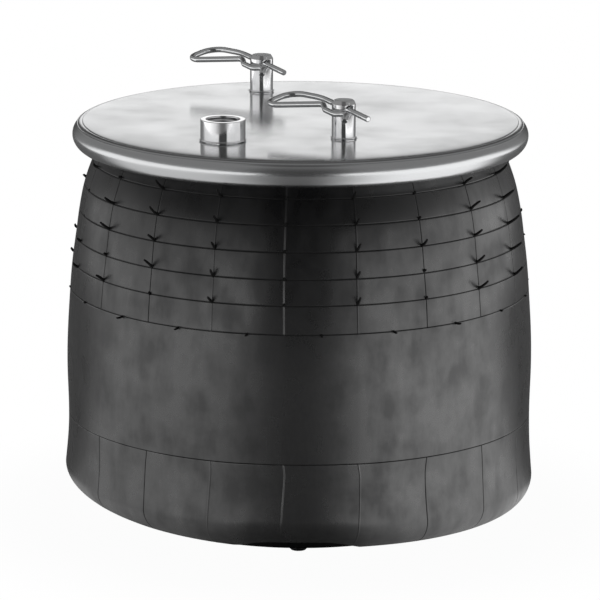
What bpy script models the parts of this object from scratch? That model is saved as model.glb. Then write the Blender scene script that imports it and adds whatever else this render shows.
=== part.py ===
"""Truck air suspension spring with a rolling-lobe sleeve, standing on its piston.

The Z axis is the stroke axis. The spring stands on the heads of its base bolts at z = 0.
Front is -Y. All sizes are in metres.
"""
import math

import bmesh
import bpy
from mathutils import Matrix, Vector

# Overall
STANDING_HEIGHT = 0.2720      # underside of the base plate to the top of the bead plate
GAP = 0.0003                  # air between two pieces that seat on each other
ROUND_STEPS = 32              # facets of the large turned pieces
SMALL_STEPS = 18              # facets of the small turned pieces
SHARP_ANGLE = math.radians(32.0)
MERGE_DISTANCE = 0.000001

# Bead plate: pressed sheet, rolled round the sleeve's upper bead
PLATE_RADIUS = 0.1550
PLATE_SHEET = 0.0030
ROLL_RADIUS = 0.0091          # outside of the rolled rim
ROLL_DROP = 0.0096            # plate top down to the roll's centre
CREASE_DROP = 0.0005          # fold line where the roll starts
CREASE_WIDTH = 0.0006
ROLL_START = math.radians(62.0)
ROLL_INNER_START = math.radians(75.0)
ROLL_STEPS = 8

# Posts and air port on the plate: axis to the plate's edge, and direction from +X
FRONT_POST_INSET = 0.0799
FRONT_POST_DIRECTION = math.radians(-67.53)
REAR_POST_INSET = 0.04765
REAR_POST_DIRECTION = math.radians(104.79)
PORT_INSET = 0.0605
PORT_DIRECTION = math.radians(-122.95)

POST_RADIUS = 0.0080
POST_HEIGHT = 0.0260
POST_TIP_RADIUS = 0.0065
POST_TIP_HEIGHT = 0.0025
POST_HOLE_RADIUS = 0.0030
POST_HOLE_DROP = 0.0055       # post tip down to the cross hole
COLLAR_WIDTH = 0.0007         # weld ring round the foot of a post or of the port
COLLAR_HEIGHT = 0.0012
FLANGE_RADIUS = 0.0120        # head of the post under the plate
FLANGE_THICKNESS = 0.0030

PORT_RADIUS = 0.0150
PORT_HEIGHT = 0.0145
PORT_BORE_RADIUS = 0.0102     # core of an M22 x 1.5 thread
PORT_COUNTERSINK_RADIUS = 0.0116
PORT_SPIGOT_RADIUS = 0.0127
PORT_SWAGE_RADIUS = 0.0144
PORT_SWAGE_THICKNESS = 0.0020
PORT_EDGE = 0.0005

# R-clips of spring wire
WIRE_RADIUS = 0.0020
CLIP_TIP_REACH = 0.0320       # post's axis to the straight leg's tip
CLIP_LOOP_REACH = 0.0515      # post's axis to the far end of the loop
CLIP_LOOP_WIDTH = 0.0420      # straight leg to the loop's outer corner
CLIP_POST_CLEARANCE = 0.0007  # outer leg to the post
CLIP_NECK = (0.0170, 0.0064)  # where the legs come closest behind the post
CLIP_DIP = (0.0115, 0.0048)   # where the outer leg snaps in front of the post
CLIP_END = (0.0230, 0.0130)   # flared end of the outer leg
CLIP_HUMP_HALF = 0.0062
CLIP_LOOP_BEND = 0.0140
CLIP_RETURN_BEND = 0.0100
CLIP_LEG_BEND = 0.0045
CLIP_HEADING = math.radians(-60.0)
CLIP_DIP_ANGLE = math.radians(4.5)
CLIP_ROLL = math.radians(10.0)
CLIP_BEND_STEPS = 5
WIRE_RESOLUTION = 2

# Sleeve: outer face from the rim down to the lobe, then up the piston
SLEEVE_THICKNESS = 0.0065
NECK_INSET = 0.0071           # roll's centre line in to the neck
LOBE_RADIUS = 0.1608
LOBE_DEPTH = 0.0200           # lobe's widest ring down to its lowest ring
LOBE_CLEARANCE = 0.0080       # base plate's underside up to the lobe's lowest ring
SIDE_SHAPE = (                # share of the drop from rim to lobe, share of the bulge
    (0.00, 0.00),
    (0.08, 0.29),
    (0.20, 0.56),
    (0.38, 0.79),
    (0.60, 0.93),
    (0.82, 0.89),
    (1.00, 1.00),
)
SIDE_STEPS = 2
LOBE_STEPS = 8

# Beads and their steel rings
BEAD_WIRE_RADIUS = 0.0030
UPPER_WIRE_INSET = 0.0044     # roll's centre line in to the upper ring
LOWER_WIRE_OFFSET = 0.0065    # piston's spigot out to the lower ring
WIRE_GROOVE_PLAY = 0.0004
UPPER_BEAD_FLOOR = 0.0029     # rubber under the upper ring
LOWER_BEAD_FLOOR = 0.0038     # rubber under the lower ring
LOWER_BEAD_HEIGHT = 0.0120
BEAD_CORNER = 0.0024
BEAD_STEPS = 5
WIRE_STEPS = 6

# Piston: a moulded shell, open below, over a core with a central tube and ribs
PISTON_HEIGHT = 0.1500
PISTON_WALL = 0.0050
PISTON_DECK = 0.0090
SHOULDER_RADIUS = 0.0140
SHOULDER_STEPS = 3
SPIGOT_STEP = 0.0350          # piston's side in to the spigot that holds the bead
TUBE_RADIUS = 0.0220          # inside of the central tube
TUBE_WALL = 0.0050
TUBE_ROOF = 0.0140
RIB_THICKNESS = 0.0040        # one rib runs out to each bolt
RIB_RECESS = 0.0040           # ribs stop short of the piston's open end
INNER_FILLET = 0.0060

# Base plate and its bolts
BASE_RADIUS = 0.1100
BASE_OVERHANG = 0.0030        # base plate's edge beyond the piston's side
BASE_THICKNESS = 0.0050
BASE_EDGE = 0.0008
BASE_HOLE_RADIUS = 0.0220
BOLT_COUNT = 4
BOLT_EDGE_DISTANCE = 0.0180   # bolt's axis to the base plate's edge
BOLT_HEAD_CORNERS = 0.0154    # M8 hexagon head over its corners
BOLT_HEAD_HEIGHT = 0.0052
BOLT_HEAD_FACE_RADIUS = 0.0050
BOLT_HEAD_CHAMFER = 0.0029
BOLT_SHANK_RADIUS = 0.0039
BOLT_REACH = 0.0170           # shank above the piston's foot
BOLT_PLAY = 0.0006
INSERT_RADIUS = 0.0060
INSERT_LENGTH = 0.0180
INSERT_HOLE_DEPTH = 0.0220
BOLT_POST_RADIUS = 0.0095     # moulded column round an insert
BOLT_POST_HEIGHT = 0.0300

# Clamp, buffer and centre bolt
CLAMP_OVERLAP = 0.0160        # clamp's edge beyond the spigot, over the bead
CLAMP_SHEET = 0.0040
CLAMP_SWAGE_RADIUS = 0.0480
CLAMP_SWAGE_HALF = 0.0040
CLAMP_SWAGE_SLOPE = 0.0035
CLAMP_SWAGE_HEIGHT = 0.0020
CLAMP_EDGE = 0.0015
SEAT_RADIUS = 0.0360
SEAT_THICKNESS = 0.0030
BUFFER_TRAVEL = 0.0250        # buffer's top to the bead plate's underside
BUFFER_TOP_RADIUS = 0.0300
BUFFER_WAIST = 0.0060         # depth of the folds round the buffer
BUFFER_FOLD_COUNT = 2
BUFFER_ROUND = 0.0060
BUFFER_BORE_RADIUS = 0.0150
CENTRE_CORNERS = 0.0277       # M16 hexagon over its corners
CENTRE_HEAD_HEIGHT = 0.0100
CENTRE_NUT_HEIGHT = 0.0130
CENTRE_FACE_RADIUS = 0.0115
CENTRE_CHAMFER = 0.0012
CENTRE_SHANK_RADIUS = 0.0079
CENTRE_END = 0.0050           # thread past the nut
WASHER_RADIUS = 0.0150
WASHER_THICKNESS = 0.0030

# Levels above the floor
BASE_BOTTOM = BOLT_HEAD_HEIGHT + GAP
BASE_TOP = BASE_BOTTOM + BASE_THICKNESS
PISTON_BOTTOM = BASE_TOP + GAP
DECK_TOP = PISTON_BOTTOM + PISTON_HEIGHT
DECK_UNDER = DECK_TOP - PISTON_DECK
PLATE_TOP = BASE_BOTTOM + STANDING_HEIGHT
PLATE_BOTTOM = PLATE_TOP - PLATE_SHEET
LOBE_BOTTOM = BASE_BOTTOM + LOBE_CLEARANCE
LOBE_LEVEL = LOBE_BOTTOM + LOBE_DEPTH
SPIGOT_TOP = DECK_TOP + LOWER_BEAD_HEIGHT
CLAMP_BOTTOM = SPIGOT_TOP + 2.0 * GAP
SEAT_BOTTOM = CLAMP_BOTTOM + CLAMP_SHEET + GAP
BUFFER_BOTTOM = SEAT_BOTTOM + SEAT_THICKNESS + GAP
BUFFER_TOP = PLATE_BOTTOM - BUFFER_TRAVEL
TUBE_ROOF_LEVEL = SPIGOT_TOP - TUBE_ROOF

# Places on the plate, and radii that follow the plate or the base plate
FRONT_POST_FROM_AXIS = PLATE_RADIUS - FRONT_POST_INSET
REAR_POST_FROM_AXIS = PLATE_RADIUS - REAR_POST_INSET
PORT_FROM_AXIS = PLATE_RADIUS - PORT_INSET
ROLL_RING_RADIUS = PLATE_RADIUS - ROLL_RADIUS
NECK_RADIUS = ROLL_RING_RADIUS - NECK_INSET
UPPER_WIRE_RING_RADIUS = ROLL_RING_RADIUS - UPPER_WIRE_INSET
PISTON_RADIUS = BASE_RADIUS - BASE_OVERHANG
SPIGOT_RADIUS = PISTON_RADIUS - SPIGOT_STEP
LOWER_WIRE_RING_RADIUS = SPIGOT_RADIUS + LOWER_WIRE_OFFSET
CLAMP_RADIUS = SPIGOT_RADIUS + CLAMP_OVERLAP
BOLT_CIRCLE_RADIUS = BASE_RADIUS - BOLT_EDGE_DISTANCE

# The roll's level and the rubber that it closes round
ROLL_LEVEL = PLATE_TOP - ROLL_DROP
ROLL_BOTTOM = ROLL_LEVEL - ROLL_RADIUS
ROLL_INSIDE = ROLL_RADIUS - PLATE_SHEET
HOOK_RADIUS = NECK_RADIUS + GAP
BEAD_ROUND = ROLL_INSIDE - GAP
BEAD_TOP = ROLL_LEVEL + BEAD_ROUND
BEAD_BOTTOM = ROLL_LEVEL - BEAD_ROUND


def clear_scene():
    """Remove whatever the file holds before the spring is modelled."""
    for item in list(bpy.data.objects):
        bpy.data.objects.remove(item, do_unlink=True)


def make_material(name, colour, roughness, metallic):
    """Return a Principled BSDF material with one colour."""
    material = bpy.data.materials.new(name)
    material.use_nodes = True
    shader = material.node_tree.nodes["Principled BSDF"]
    shader.inputs["Base Color"].default_value = (*colour, 1.0)
    shader.inputs["Roughness"].default_value = roughness
    shader.inputs["Metallic"].default_value = metallic
    material.diffuse_color = (*colour, 1.0)
    return material


def arc(centre, radii, start, end, steps):
    """Return (radius, height) points along an ellipse from one angle to another."""
    points = []
    for step in range(steps + 1):
        angle = start + (end - start) * step / steps
        points.append((centre[0] + radii[0] * math.cos(angle), centre[1] + radii[1] * math.sin(angle)))
    return points


def smooth_through(stations, steps):
    """Return points of a Catmull-Rom curve through the stations."""
    ends = [stations[0]] + list(stations) + [stations[-1]]
    points = []
    for i in range(1, len(ends) - 2):
        before, start, end, after = (Vector(ends[k]) for k in (i - 1, i, i + 1, i + 2))
        for step in range(steps):
            t = step / steps
            slope_in = (end - before) * 0.5
            slope_out = (after - start) * 0.5
            point = start * (2 * t**3 - 3 * t**2 + 1) + slope_in * (t**3 - 2 * t**2 + t)
            point = point + end * (3 * t**2 - 2 * t**3) + slope_out * (t**3 - t**2)
            points.append(tuple(point))
    points.append(tuple(stations[-1]))
    return points


def offset_left(path, distance):
    """Return the path moved sideways, to the air side of a sleeve that runs downwards."""
    moved = []
    for i, point in enumerate(path):
        before = Vector(path[max(i - 1, 0)])
        after = Vector(path[min(i + 1, len(path) - 1)])
        along = (after - before).normalized()
        moved.append((point[0] + distance * along.y, point[1] - distance * along.x))
    return moved


def rounded_path(corners, bends, steps):
    """Return the points of a line through the corners, each corner bent to its radius."""
    points = [Vector(corners[0])]
    for i in range(1, len(corners) - 1):
        corner = Vector(corners[i])
        back = (Vector(corners[i - 1]) - corner).normalized()
        ahead = (Vector(corners[i + 1]) - corner).normalized()
        half = back.angle(ahead) / 2
        bend = bends[i - 1]
        centre = corner + (back + ahead).normalized() * (bend / math.sin(half))
        first = corner + back * (bend / math.tan(half)) - centre
        last = corner + ahead * (bend / math.tan(half)) - centre
        for step in range(steps + 1):
            points.append(centre + first.slerp(last, step / steps) * bend)
    points.append(Vector(corners[-1]))
    return points


def finish_mesh(work, name):
    """Turn a bmesh into a mesh with outward faces and smooth round sides."""
    bmesh.ops.remove_doubles(work, verts=work.verts, dist=MERGE_DISTANCE)
    bmesh.ops.recalc_face_normals(work, faces=work.faces)
    mesh = bpy.data.meshes.new(name)
    work.to_mesh(mesh)
    work.free()
    mesh.shade_smooth()
    mesh.set_sharp_from_angle(angle=SHARP_ANGLE)
    return mesh


def turned_mesh(name, outline, steps):
    """Spin a closed (radius, height) outline about the Z axis. An edge on the axis is left out."""
    work = bmesh.new()
    verts = [work.verts.new((radius, 0.0, height)) for radius, height in outline]
    edges = []
    for i in range(len(verts)):
        if outline[i - 1][0] > 0.0 or outline[i][0] > 0.0:
            edges.append(work.edges.new((verts[i - 1], verts[i])))
    bmesh.ops.spin(
        work,
        geom=verts + edges,
        cent=(0.0, 0.0, 0.0),
        axis=(0.0, 0.0, 1.0),
        angle=math.tau,
        steps=steps,
        use_merge=True,
    )
    return finish_mesh(work, name)


def add_cylinder(work, radius, bottom, top, at=(0.0, 0.0), steps=SMALL_STEPS):
    """Add an upright cylinder or prism to a bmesh."""
    place = Matrix.Translation((at[0], at[1], (bottom + top) / 2))
    bmesh.ops.create_cone(
        work,
        cap_ends=True,
        segments=steps,
        radius1=radius,
        radius2=radius,
        depth=top - bottom,
        matrix=place,
    )


def add_rib(work, outline, thickness, direction):
    """Add an upright rib: a (radius, height) outline as thick as given, turned to its direction."""
    turn = Matrix.Rotation(direction, 3, "Z")
    verts = [work.verts.new(turn @ Vector((radius, -thickness / 2, height))) for radius, height in outline]
    face = work.faces.new(verts)
    grown = bmesh.ops.extrude_face_region(work, geom=[face])["geom"]
    moved = [item for item in grown if isinstance(item, bmesh.types.BMVert)]
    bmesh.ops.translate(work, verts=moved, vec=turn @ Vector((0.0, thickness, 0.0)))


def polar(radius, direction):
    """Return the (x, y) place at a distance and a direction from the axis."""
    return (radius * math.cos(direction), radius * math.sin(direction))


def around(count, radius):
    """Return (x, y) places on a circle, the first one at the front."""
    return [polar(radius, math.tau * i / count - math.pi / 2) for i in range(count)]


def place(name, data, material, location=(0.0, 0.0, 0.0), rotation=(0.0, 0.0, 0.0), parent=None):
    """Put a mesh or curve into the scene as a named piece."""
    piece = bpy.data.objects.new(name, data)
    bpy.context.scene.collection.objects.link(piece)
    if len(data.materials) == 0:
        data.materials.append(material)
    piece.location = location
    piece.rotation_euler = rotation
    piece.parent = parent
    return piece


def empty(name, location):
    """Add an empty that carries the pieces of one moving body."""
    holder = bpy.data.objects.new(name, None)
    bpy.context.scene.collection.objects.link(holder)
    holder.location = location
    holder.empty_display_size = PLATE_RADIUS / 4
    return holder


def helper(name, mesh, parent=None):
    """Add a hidden tool body for a Boolean."""
    tool = bpy.data.objects.new(name, mesh)
    bpy.context.scene.collection.objects.link(tool)
    tool.parent = parent
    tool.hide_render = True
    tool.display_type = "WIRE"
    return tool


def combine(piece, tool, operation):
    """Add an exact Boolean modifier to a piece."""
    modifier = piece.modifiers.new(tool.name, "BOOLEAN")
    modifier.operation = operation
    modifier.solver = "EXACT"
    modifier.object = tool


def baked_mesh(piece, name):
    """Return the piece's mesh with its modifiers applied, and remove the piece and its tools."""
    bpy.context.view_layer.update()
    graph = bpy.context.evaluated_depsgraph_get()
    mesh = bpy.data.meshes.new_from_object(piece.evaluated_get(graph))
    mesh.name = name
    mesh.materials.clear()
    tools = [modifier.object for modifier in piece.modifiers]
    for item in [piece] + tools:
        bpy.data.objects.remove(item, do_unlink=True)
    mesh.shade_smooth()
    mesh.set_sharp_from_angle(angle=SHARP_ANGLE)
    return mesh


def hexagon_mesh(name, corners, height, face_radius, chamfer, shank_radius, shank_length, bore_radius):
    """Return a bolt or a nut. It bears at z = 0, its hexagon hangs below and a bolt's shank rises above."""
    work = bmesh.new()
    add_cylinder(work, corners / 2, -height, 0.0, steps=6)
    piece = helper(name, finish_mesh(work, name))
    outside = corners
    cone = (
        (0.0, -height),
        (face_radius, -height),
        (corners / 2, chamfer - height),
        (outside, chamfer - height),
        (outside, GAP),
        (0.0, GAP),
    )
    combine(piece, helper(name + "_chamfer", turned_mesh(name, cone, SMALL_STEPS)), "INTERSECT")
    if shank_length > 0.0:
        work = bmesh.new()
        add_cylinder(work, shank_radius, -height / 2, shank_length)
        combine(piece, helper(name + "_shank", finish_mesh(work, name)), "UNION")
    if bore_radius > 0.0:
        work = bmesh.new()
        add_cylinder(work, bore_radius, -height - GAP, GAP)
        combine(piece, helper(name + "_bore", finish_mesh(work, name)), "DIFFERENCE")
    return baked_mesh(piece, name)


def sleeve_face():
    """Return the sleeve's outer face, from the rim down the side, round the lobe and up the piston."""
    top = ROLL_BOTTOM
    side = []
    for drop, bulge in SIDE_SHAPE:
        radius = NECK_RADIUS + (LOBE_RADIUS - NECK_RADIUS) * bulge
        side.append((radius, top - (top - LOBE_LEVEL) * drop))
    path = smooth_through(side, SIDE_STEPS)
    inner = PISTON_RADIUS + GAP
    centre = ((LOBE_RADIUS + inner) / 2, LOBE_LEVEL)
    radii = ((LOBE_RADIUS - inner) / 2, LOBE_DEPTH)
    path = path[:-1] + arc(centre, radii, 0.0, -math.pi, LOBE_STEPS)
    shoulder = (PISTON_RADIUS - SHOULDER_RADIUS, DECK_TOP - SHOULDER_RADIUS)
    bend = SHOULDER_RADIUS + GAP
    path = path + arc(shoulder, (bend, bend), 0.0, math.pi / 2, SHOULDER_STEPS)
    return path


def sleeve_outline():
    """Return the closed outline of the rubber: both faces and the two grooved beads."""
    face = sleeve_face()
    air_side = offset_left(face, SLEEVE_THICKNESS)
    groove = BEAD_WIRE_RADIUS + WIRE_GROOVE_PLAY
    floor = BEAD_BOTTOM + UPPER_BEAD_FLOOR
    roll = (ROLL_RING_RADIUS, ROLL_LEVEL)
    inside = NECK_RADIUS - SLEEVE_THICKNESS
    outline = [(NECK_RADIUS, BEAD_BOTTOM)]
    outline += arc(roll, (BEAD_ROUND, BEAD_ROUND), -math.pi / 2, math.pi / 2, BEAD_STEPS)
    outline.append((UPPER_WIRE_RING_RADIUS + groove, BEAD_TOP))
    outline.append((UPPER_WIRE_RING_RADIUS + groove, floor))
    outline.append((UPPER_WIRE_RING_RADIUS - groove, floor))
    outline.append((UPPER_WIRE_RING_RADIUS - groove, BEAD_TOP))
    outline.append((inside + BEAD_CORNER, BEAD_TOP))
    outline.append((inside, BEAD_TOP - BEAD_CORNER))
    outline += air_side
    low = DECK_TOP + GAP
    high = low + LOWER_BEAD_HEIGHT
    outline.append((LOWER_WIRE_RING_RADIUS + groove + BEAD_CORNER, high))
    outline.append((LOWER_WIRE_RING_RADIUS + groove, high))
    outline.append((LOWER_WIRE_RING_RADIUS + groove, low + LOWER_BEAD_FLOOR))
    outline.append((LOWER_WIRE_RING_RADIUS - groove, low + LOWER_BEAD_FLOOR))
    outline.append((LOWER_WIRE_RING_RADIUS - groove, high))
    outline.append((SPIGOT_RADIUS + GAP, high))
    outline.append((SPIGOT_RADIUS + GAP, low))
    outline += reversed(face)
    return outline


def make_bellows(material, parent):
    """Rubber sleeve between the bead plate and the piston."""
    return place("bellows", turned_mesh("bellows", sleeve_outline(), ROUND_STEPS), material, parent=parent)


def make_bead_wire(name, ring_radius, floor, material, parent):
    """Steel ring that lies in a bead's groove."""
    centre = (ring_radius, floor + GAP + BEAD_WIRE_RADIUS)
    radii = (BEAD_WIRE_RADIUS, BEAD_WIRE_RADIUS)
    outline = arc(centre, radii, 0.0, math.tau, WIRE_STEPS)[:-1]
    return place(name, turned_mesh(name, outline, ROUND_STEPS), material, parent=parent)


def make_bead_plate(material, parent):
    """Top plate: flat sheet, a fold line, then the rim rolled down and in under the bead."""
    post_places = (
        polar(FRONT_POST_FROM_AXIS, FRONT_POST_DIRECTION),
        polar(REAR_POST_FROM_AXIS, REAR_POST_DIRECTION),
    )
    centre = (ROLL_RING_RADIUS, -ROLL_DROP)
    roll_start_radius = ROLL_RING_RADIUS + ROLL_RADIUS * math.cos(ROLL_START)
    crease_radius = roll_start_radius - CREASE_WIDTH
    outline = [(0.0, 0.0), (crease_radius - CREASE_WIDTH, 0.0), (crease_radius, -CREASE_DROP)]
    outline += arc(centre, (ROLL_RADIUS, ROLL_RADIUS), ROLL_START, -math.pi / 2, ROLL_STEPS)
    outline.append((HOOK_RADIUS, -ROLL_DROP - ROLL_RADIUS))
    outline.append((HOOK_RADIUS, -ROLL_DROP - ROLL_INSIDE))
    outline += arc(centre, (ROLL_INSIDE, ROLL_INSIDE), -math.pi / 2, ROLL_INNER_START, ROLL_STEPS - 2)
    outline.append((ROLL_RING_RADIUS - ROLL_INSIDE / 2, -PLATE_SHEET))
    outline.append((0.0, -PLATE_SHEET))
    plate = place("bead_plate", turned_mesh("bead_plate", outline, ROUND_STEPS), material, parent=parent)
    work = bmesh.new()
    for at in post_places:
        add_cylinder(work, POST_RADIUS + GAP, -PLATE_SHEET - GAP, GAP, at)
    port_place = polar(PORT_FROM_AXIS, PORT_DIRECTION)
    add_cylinder(work, PORT_SPIGOT_RADIUS + GAP, -PLATE_SHEET - GAP, GAP, port_place)
    combine(plate, helper("cut_plate_holes", finish_mesh(work, "plate_holes"), parent), "DIFFERENCE")
    return plate


def make_post(name, at, material, parent):
    """Locating post: its head lies under the plate, and its chamfered tip is cross-drilled."""
    under = -PLATE_SHEET - GAP
    collar_top = GAP + COLLAR_HEIGHT
    outline = (
        (0.0, under - FLANGE_THICKNESS),
        (FLANGE_RADIUS, under - FLANGE_THICKNESS),
        (FLANGE_RADIUS, under),
        (POST_RADIUS, under),
        (POST_RADIUS, GAP),
        (POST_RADIUS + COLLAR_WIDTH, GAP),
        (POST_RADIUS + COLLAR_WIDTH, collar_top - COLLAR_WIDTH),
        (POST_RADIUS, collar_top),
        (POST_RADIUS, POST_HEIGHT - POST_TIP_HEIGHT),
        (POST_TIP_RADIUS, POST_HEIGHT),
        (0.0, POST_HEIGHT),
    )
    mesh = turned_mesh(name, outline, SMALL_STEPS)
    post = place(name, mesh, material, (at[0], at[1], 0.0), parent=parent)
    work = bmesh.new()
    reach = POST_RADIUS + COLLAR_WIDTH
    add_cylinder(work, POST_HOLE_RADIUS, -reach, reach, steps=SMALL_STEPS // 2)
    drill = helper("cut_" + name + "_hole", finish_mesh(work, "post_hole"), parent)
    drill.location = (at[0], at[1], POST_HEIGHT - POST_HOLE_DROP)
    drill.rotation_euler = (0.0, math.pi / 2, CLIP_HEADING)
    combine(post, drill, "DIFFERENCE")
    return post


def make_port(material, parent):
    """Air inlet: a turned bush through the plate, swaged underneath and bored right through."""
    under = -PLATE_SHEET - GAP
    collar_top = GAP + COLLAR_HEIGHT
    countersink = PORT_COUNTERSINK_RADIUS - PORT_BORE_RADIUS
    outline = (
        (PORT_BORE_RADIUS, under - PORT_SWAGE_THICKNESS),
        (PORT_SWAGE_RADIUS, under - PORT_SWAGE_THICKNESS),
        (PORT_SWAGE_RADIUS, under),
        (PORT_SPIGOT_RADIUS, under),
        (PORT_SPIGOT_RADIUS, GAP),
        (PORT_RADIUS + COLLAR_WIDTH, GAP),
        (PORT_RADIUS + COLLAR_WIDTH, collar_top - COLLAR_WIDTH),
        (PORT_RADIUS, collar_top),
        (PORT_RADIUS, PORT_HEIGHT - PORT_EDGE),
        (PORT_RADIUS - PORT_EDGE, PORT_HEIGHT),
        (PORT_COUNTERSINK_RADIUS, PORT_HEIGHT),
        (PORT_BORE_RADIUS, PORT_HEIGHT - countersink),
    )
    mesh = turned_mesh("air_inlet_boss", outline, SMALL_STEPS)
    at = polar(PORT_FROM_AXIS, PORT_DIRECTION)
    return place("air_inlet_boss", mesh, material, (*at, 0.0), parent=parent)


def clip_path():
    """Return the wire's centre line. X runs along the straight leg, and the outer leg is on -Y."""
    hump = POST_RADIUS + WIRE_RADIUS + CLIP_POST_CLEARANCE
    corners = (
        (CLIP_TIP_REACH, 0.0),
        (-CLIP_LOOP_REACH, 0.0),
        (-CLIP_LOOP_REACH + WIRE_RADIUS, -CLIP_LOOP_WIDTH),
        (-CLIP_NECK[0], -CLIP_NECK[1]),
        (-CLIP_HUMP_HALF, -hump),
        (CLIP_HUMP_HALF, -hump),
        (CLIP_DIP[0], -CLIP_DIP[1]),
        (CLIP_END[0], -CLIP_END[1]),
    )
    bends = [CLIP_LOOP_BEND, CLIP_RETURN_BEND] + [CLIP_LEG_BEND] * 4
    return rounded_path([Vector((x, y, 0.0)) for x, y in corners], bends, CLIP_BEND_STEPS)


def make_clip(name, at, material, parent):
    """R-clip: spring wire whose straight leg runs through the post's cross hole."""
    wire = bpy.data.curves.new(name, "CURVE")
    wire.dimensions = "3D"
    wire.bevel_depth = WIRE_RADIUS
    wire.bevel_resolution = WIRE_RESOLUTION
    wire.use_fill_caps = True
    points = clip_path()
    spline = wire.splines.new("POLY")
    spline.points.add(len(points) - 1)
    for target, point in zip(spline.points, points):
        target.co = (*point, 1.0)
    location = (at[0], at[1], POST_HEIGHT - POST_HOLE_DROP)
    rotation = (CLIP_ROLL, CLIP_DIP_ANGLE, CLIP_HEADING)
    return place(name, wire, material, location, rotation, parent)


def make_piston(material, parent):
    """Piston's shell: a cup, open below, with a round shoulder and a spigot for the lower bead."""
    wall_inside = PISTON_RADIUS - PISTON_WALL
    shoulder = (PISTON_RADIUS - SHOULDER_RADIUS, DECK_TOP - SHOULDER_RADIUS)
    bore = CENTRE_SHANK_RADIUS + BOLT_PLAY
    outline = [(PISTON_RADIUS, PISTON_BOTTOM)]
    outline += arc(shoulder, (SHOULDER_RADIUS, SHOULDER_RADIUS), 0.0, math.pi / 2, SHOULDER_STEPS)
    outline += [
        (SPIGOT_RADIUS, DECK_TOP),
        (SPIGOT_RADIUS, SPIGOT_TOP),
        (bore, SPIGOT_TOP),
        (bore, TUBE_ROOF_LEVEL),
        (TUBE_RADIUS, TUBE_ROOF_LEVEL),
        (TUBE_RADIUS, DECK_UNDER),
        (wall_inside - INNER_FILLET, DECK_UNDER),
        (wall_inside, DECK_UNDER - INNER_FILLET),
        (wall_inside, PISTON_BOTTOM),
    ]
    return place("piston", turned_mesh("piston", outline, ROUND_STEPS), material, parent=parent)


def make_piston_core(material, parent):
    """Piston's core: a central tube, with a rib out to each column that holds a threaded insert."""
    top = DECK_UNDER - GAP
    tube_outside = TUBE_RADIUS + TUBE_WALL
    outline = (
        (TUBE_RADIUS, PISTON_BOTTOM),
        (tube_outside, PISTON_BOTTOM),
        (tube_outside, top),
        (TUBE_RADIUS, top),
    )
    core = place("piston_core", turned_mesh("piston_core", outline, ROUND_STEPS), material, parent=parent)

    inner = TUBE_RADIUS + TUBE_WALL / 2
    outer = PISTON_RADIUS - PISTON_WALL - GAP
    rib = (
        (inner, PISTON_BOTTOM + RIB_RECESS),
        (outer, PISTON_BOTTOM + RIB_RECESS),
        (outer, top - INNER_FILLET),
        (outer - INNER_FILLET, top),
        (inner, top),
    )
    ribs = bmesh.new()
    columns = bmesh.new()
    holes = bmesh.new()
    column_top = PISTON_BOTTOM + BOLT_POST_HEIGHT
    hole_top = PISTON_BOTTOM + INSERT_HOLE_DEPTH
    for i, at in enumerate(around(BOLT_COUNT, BOLT_CIRCLE_RADIUS)):
        add_rib(ribs, rib, RIB_THICKNESS, math.tau * i / BOLT_COUNT - math.pi / 2)
        add_cylinder(columns, BOLT_POST_RADIUS, PISTON_BOTTOM, column_top, at)
        add_cylinder(holes, INSERT_RADIUS + GAP, PISTON_BOTTOM - GAP, hole_top, at)
    combine(core, helper("add_ribs", finish_mesh(ribs, "ribs"), parent), "UNION")
    combine(core, helper("add_columns", finish_mesh(columns, "columns"), parent), "UNION")
    combine(core, helper("cut_insert_holes", finish_mesh(holes, "insert_holes"), parent), "DIFFERENCE")
    return core


def make_base_plate(material, parent):
    """Steel disc under the piston, with a centre hole and four bolt holes."""
    outline = (
        (BASE_HOLE_RADIUS, BASE_BOTTOM),
        (BASE_RADIUS - BASE_EDGE, BASE_BOTTOM),
        (BASE_RADIUS, BASE_BOTTOM + BASE_EDGE),
        (BASE_RADIUS, BASE_TOP - BASE_EDGE),
        (BASE_RADIUS - BASE_EDGE, BASE_TOP),
        (BASE_HOLE_RADIUS, BASE_TOP),
    )
    plate = place("base_plate", turned_mesh("base_plate", outline, ROUND_STEPS), material, parent=parent)
    work = bmesh.new()
    for at in around(BOLT_COUNT, BOLT_CIRCLE_RADIUS):
        add_cylinder(work, BOLT_SHANK_RADIUS + BOLT_PLAY, BASE_BOTTOM - GAP, BASE_TOP + GAP, at)
    combine(plate, helper("cut_base_holes", finish_mesh(work, "base_holes"), parent), "DIFFERENCE")
    return plate


def make_base_fixings(bolt_material, insert_material, parent):
    """Four bolts up through the base plate, each in a threaded insert in the piston."""
    shank = PISTON_BOTTOM + BOLT_REACH - BASE_BOTTOM
    bolt = hexagon_mesh(
        "base_bolt",
        BOLT_HEAD_CORNERS,
        BOLT_HEAD_HEIGHT,
        BOLT_HEAD_FACE_RADIUS,
        BOLT_HEAD_CHAMFER,
        BOLT_SHANK_RADIUS,
        shank,
        0.0,
    )
    bore = BOLT_SHANK_RADIUS + GAP
    low = GAP
    high = GAP + INSERT_LENGTH
    outline = ((bore, low), (INSERT_RADIUS, low), (INSERT_RADIUS, high), (bore, high))
    insert = turned_mesh("base_insert", outline, SMALL_STEPS)
    for i, at in enumerate(around(BOLT_COUNT, BOLT_CIRCLE_RADIUS), start=1):
        spot = (at[0], at[1], BASE_BOTTOM - GAP)
        place("base_bolt_%d" % i, bolt, bolt_material, spot, parent=parent)
        spot = (at[0], at[1], PISTON_BOTTOM)
        place("base_insert_%d" % i, insert, insert_material, spot, parent=parent)


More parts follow.
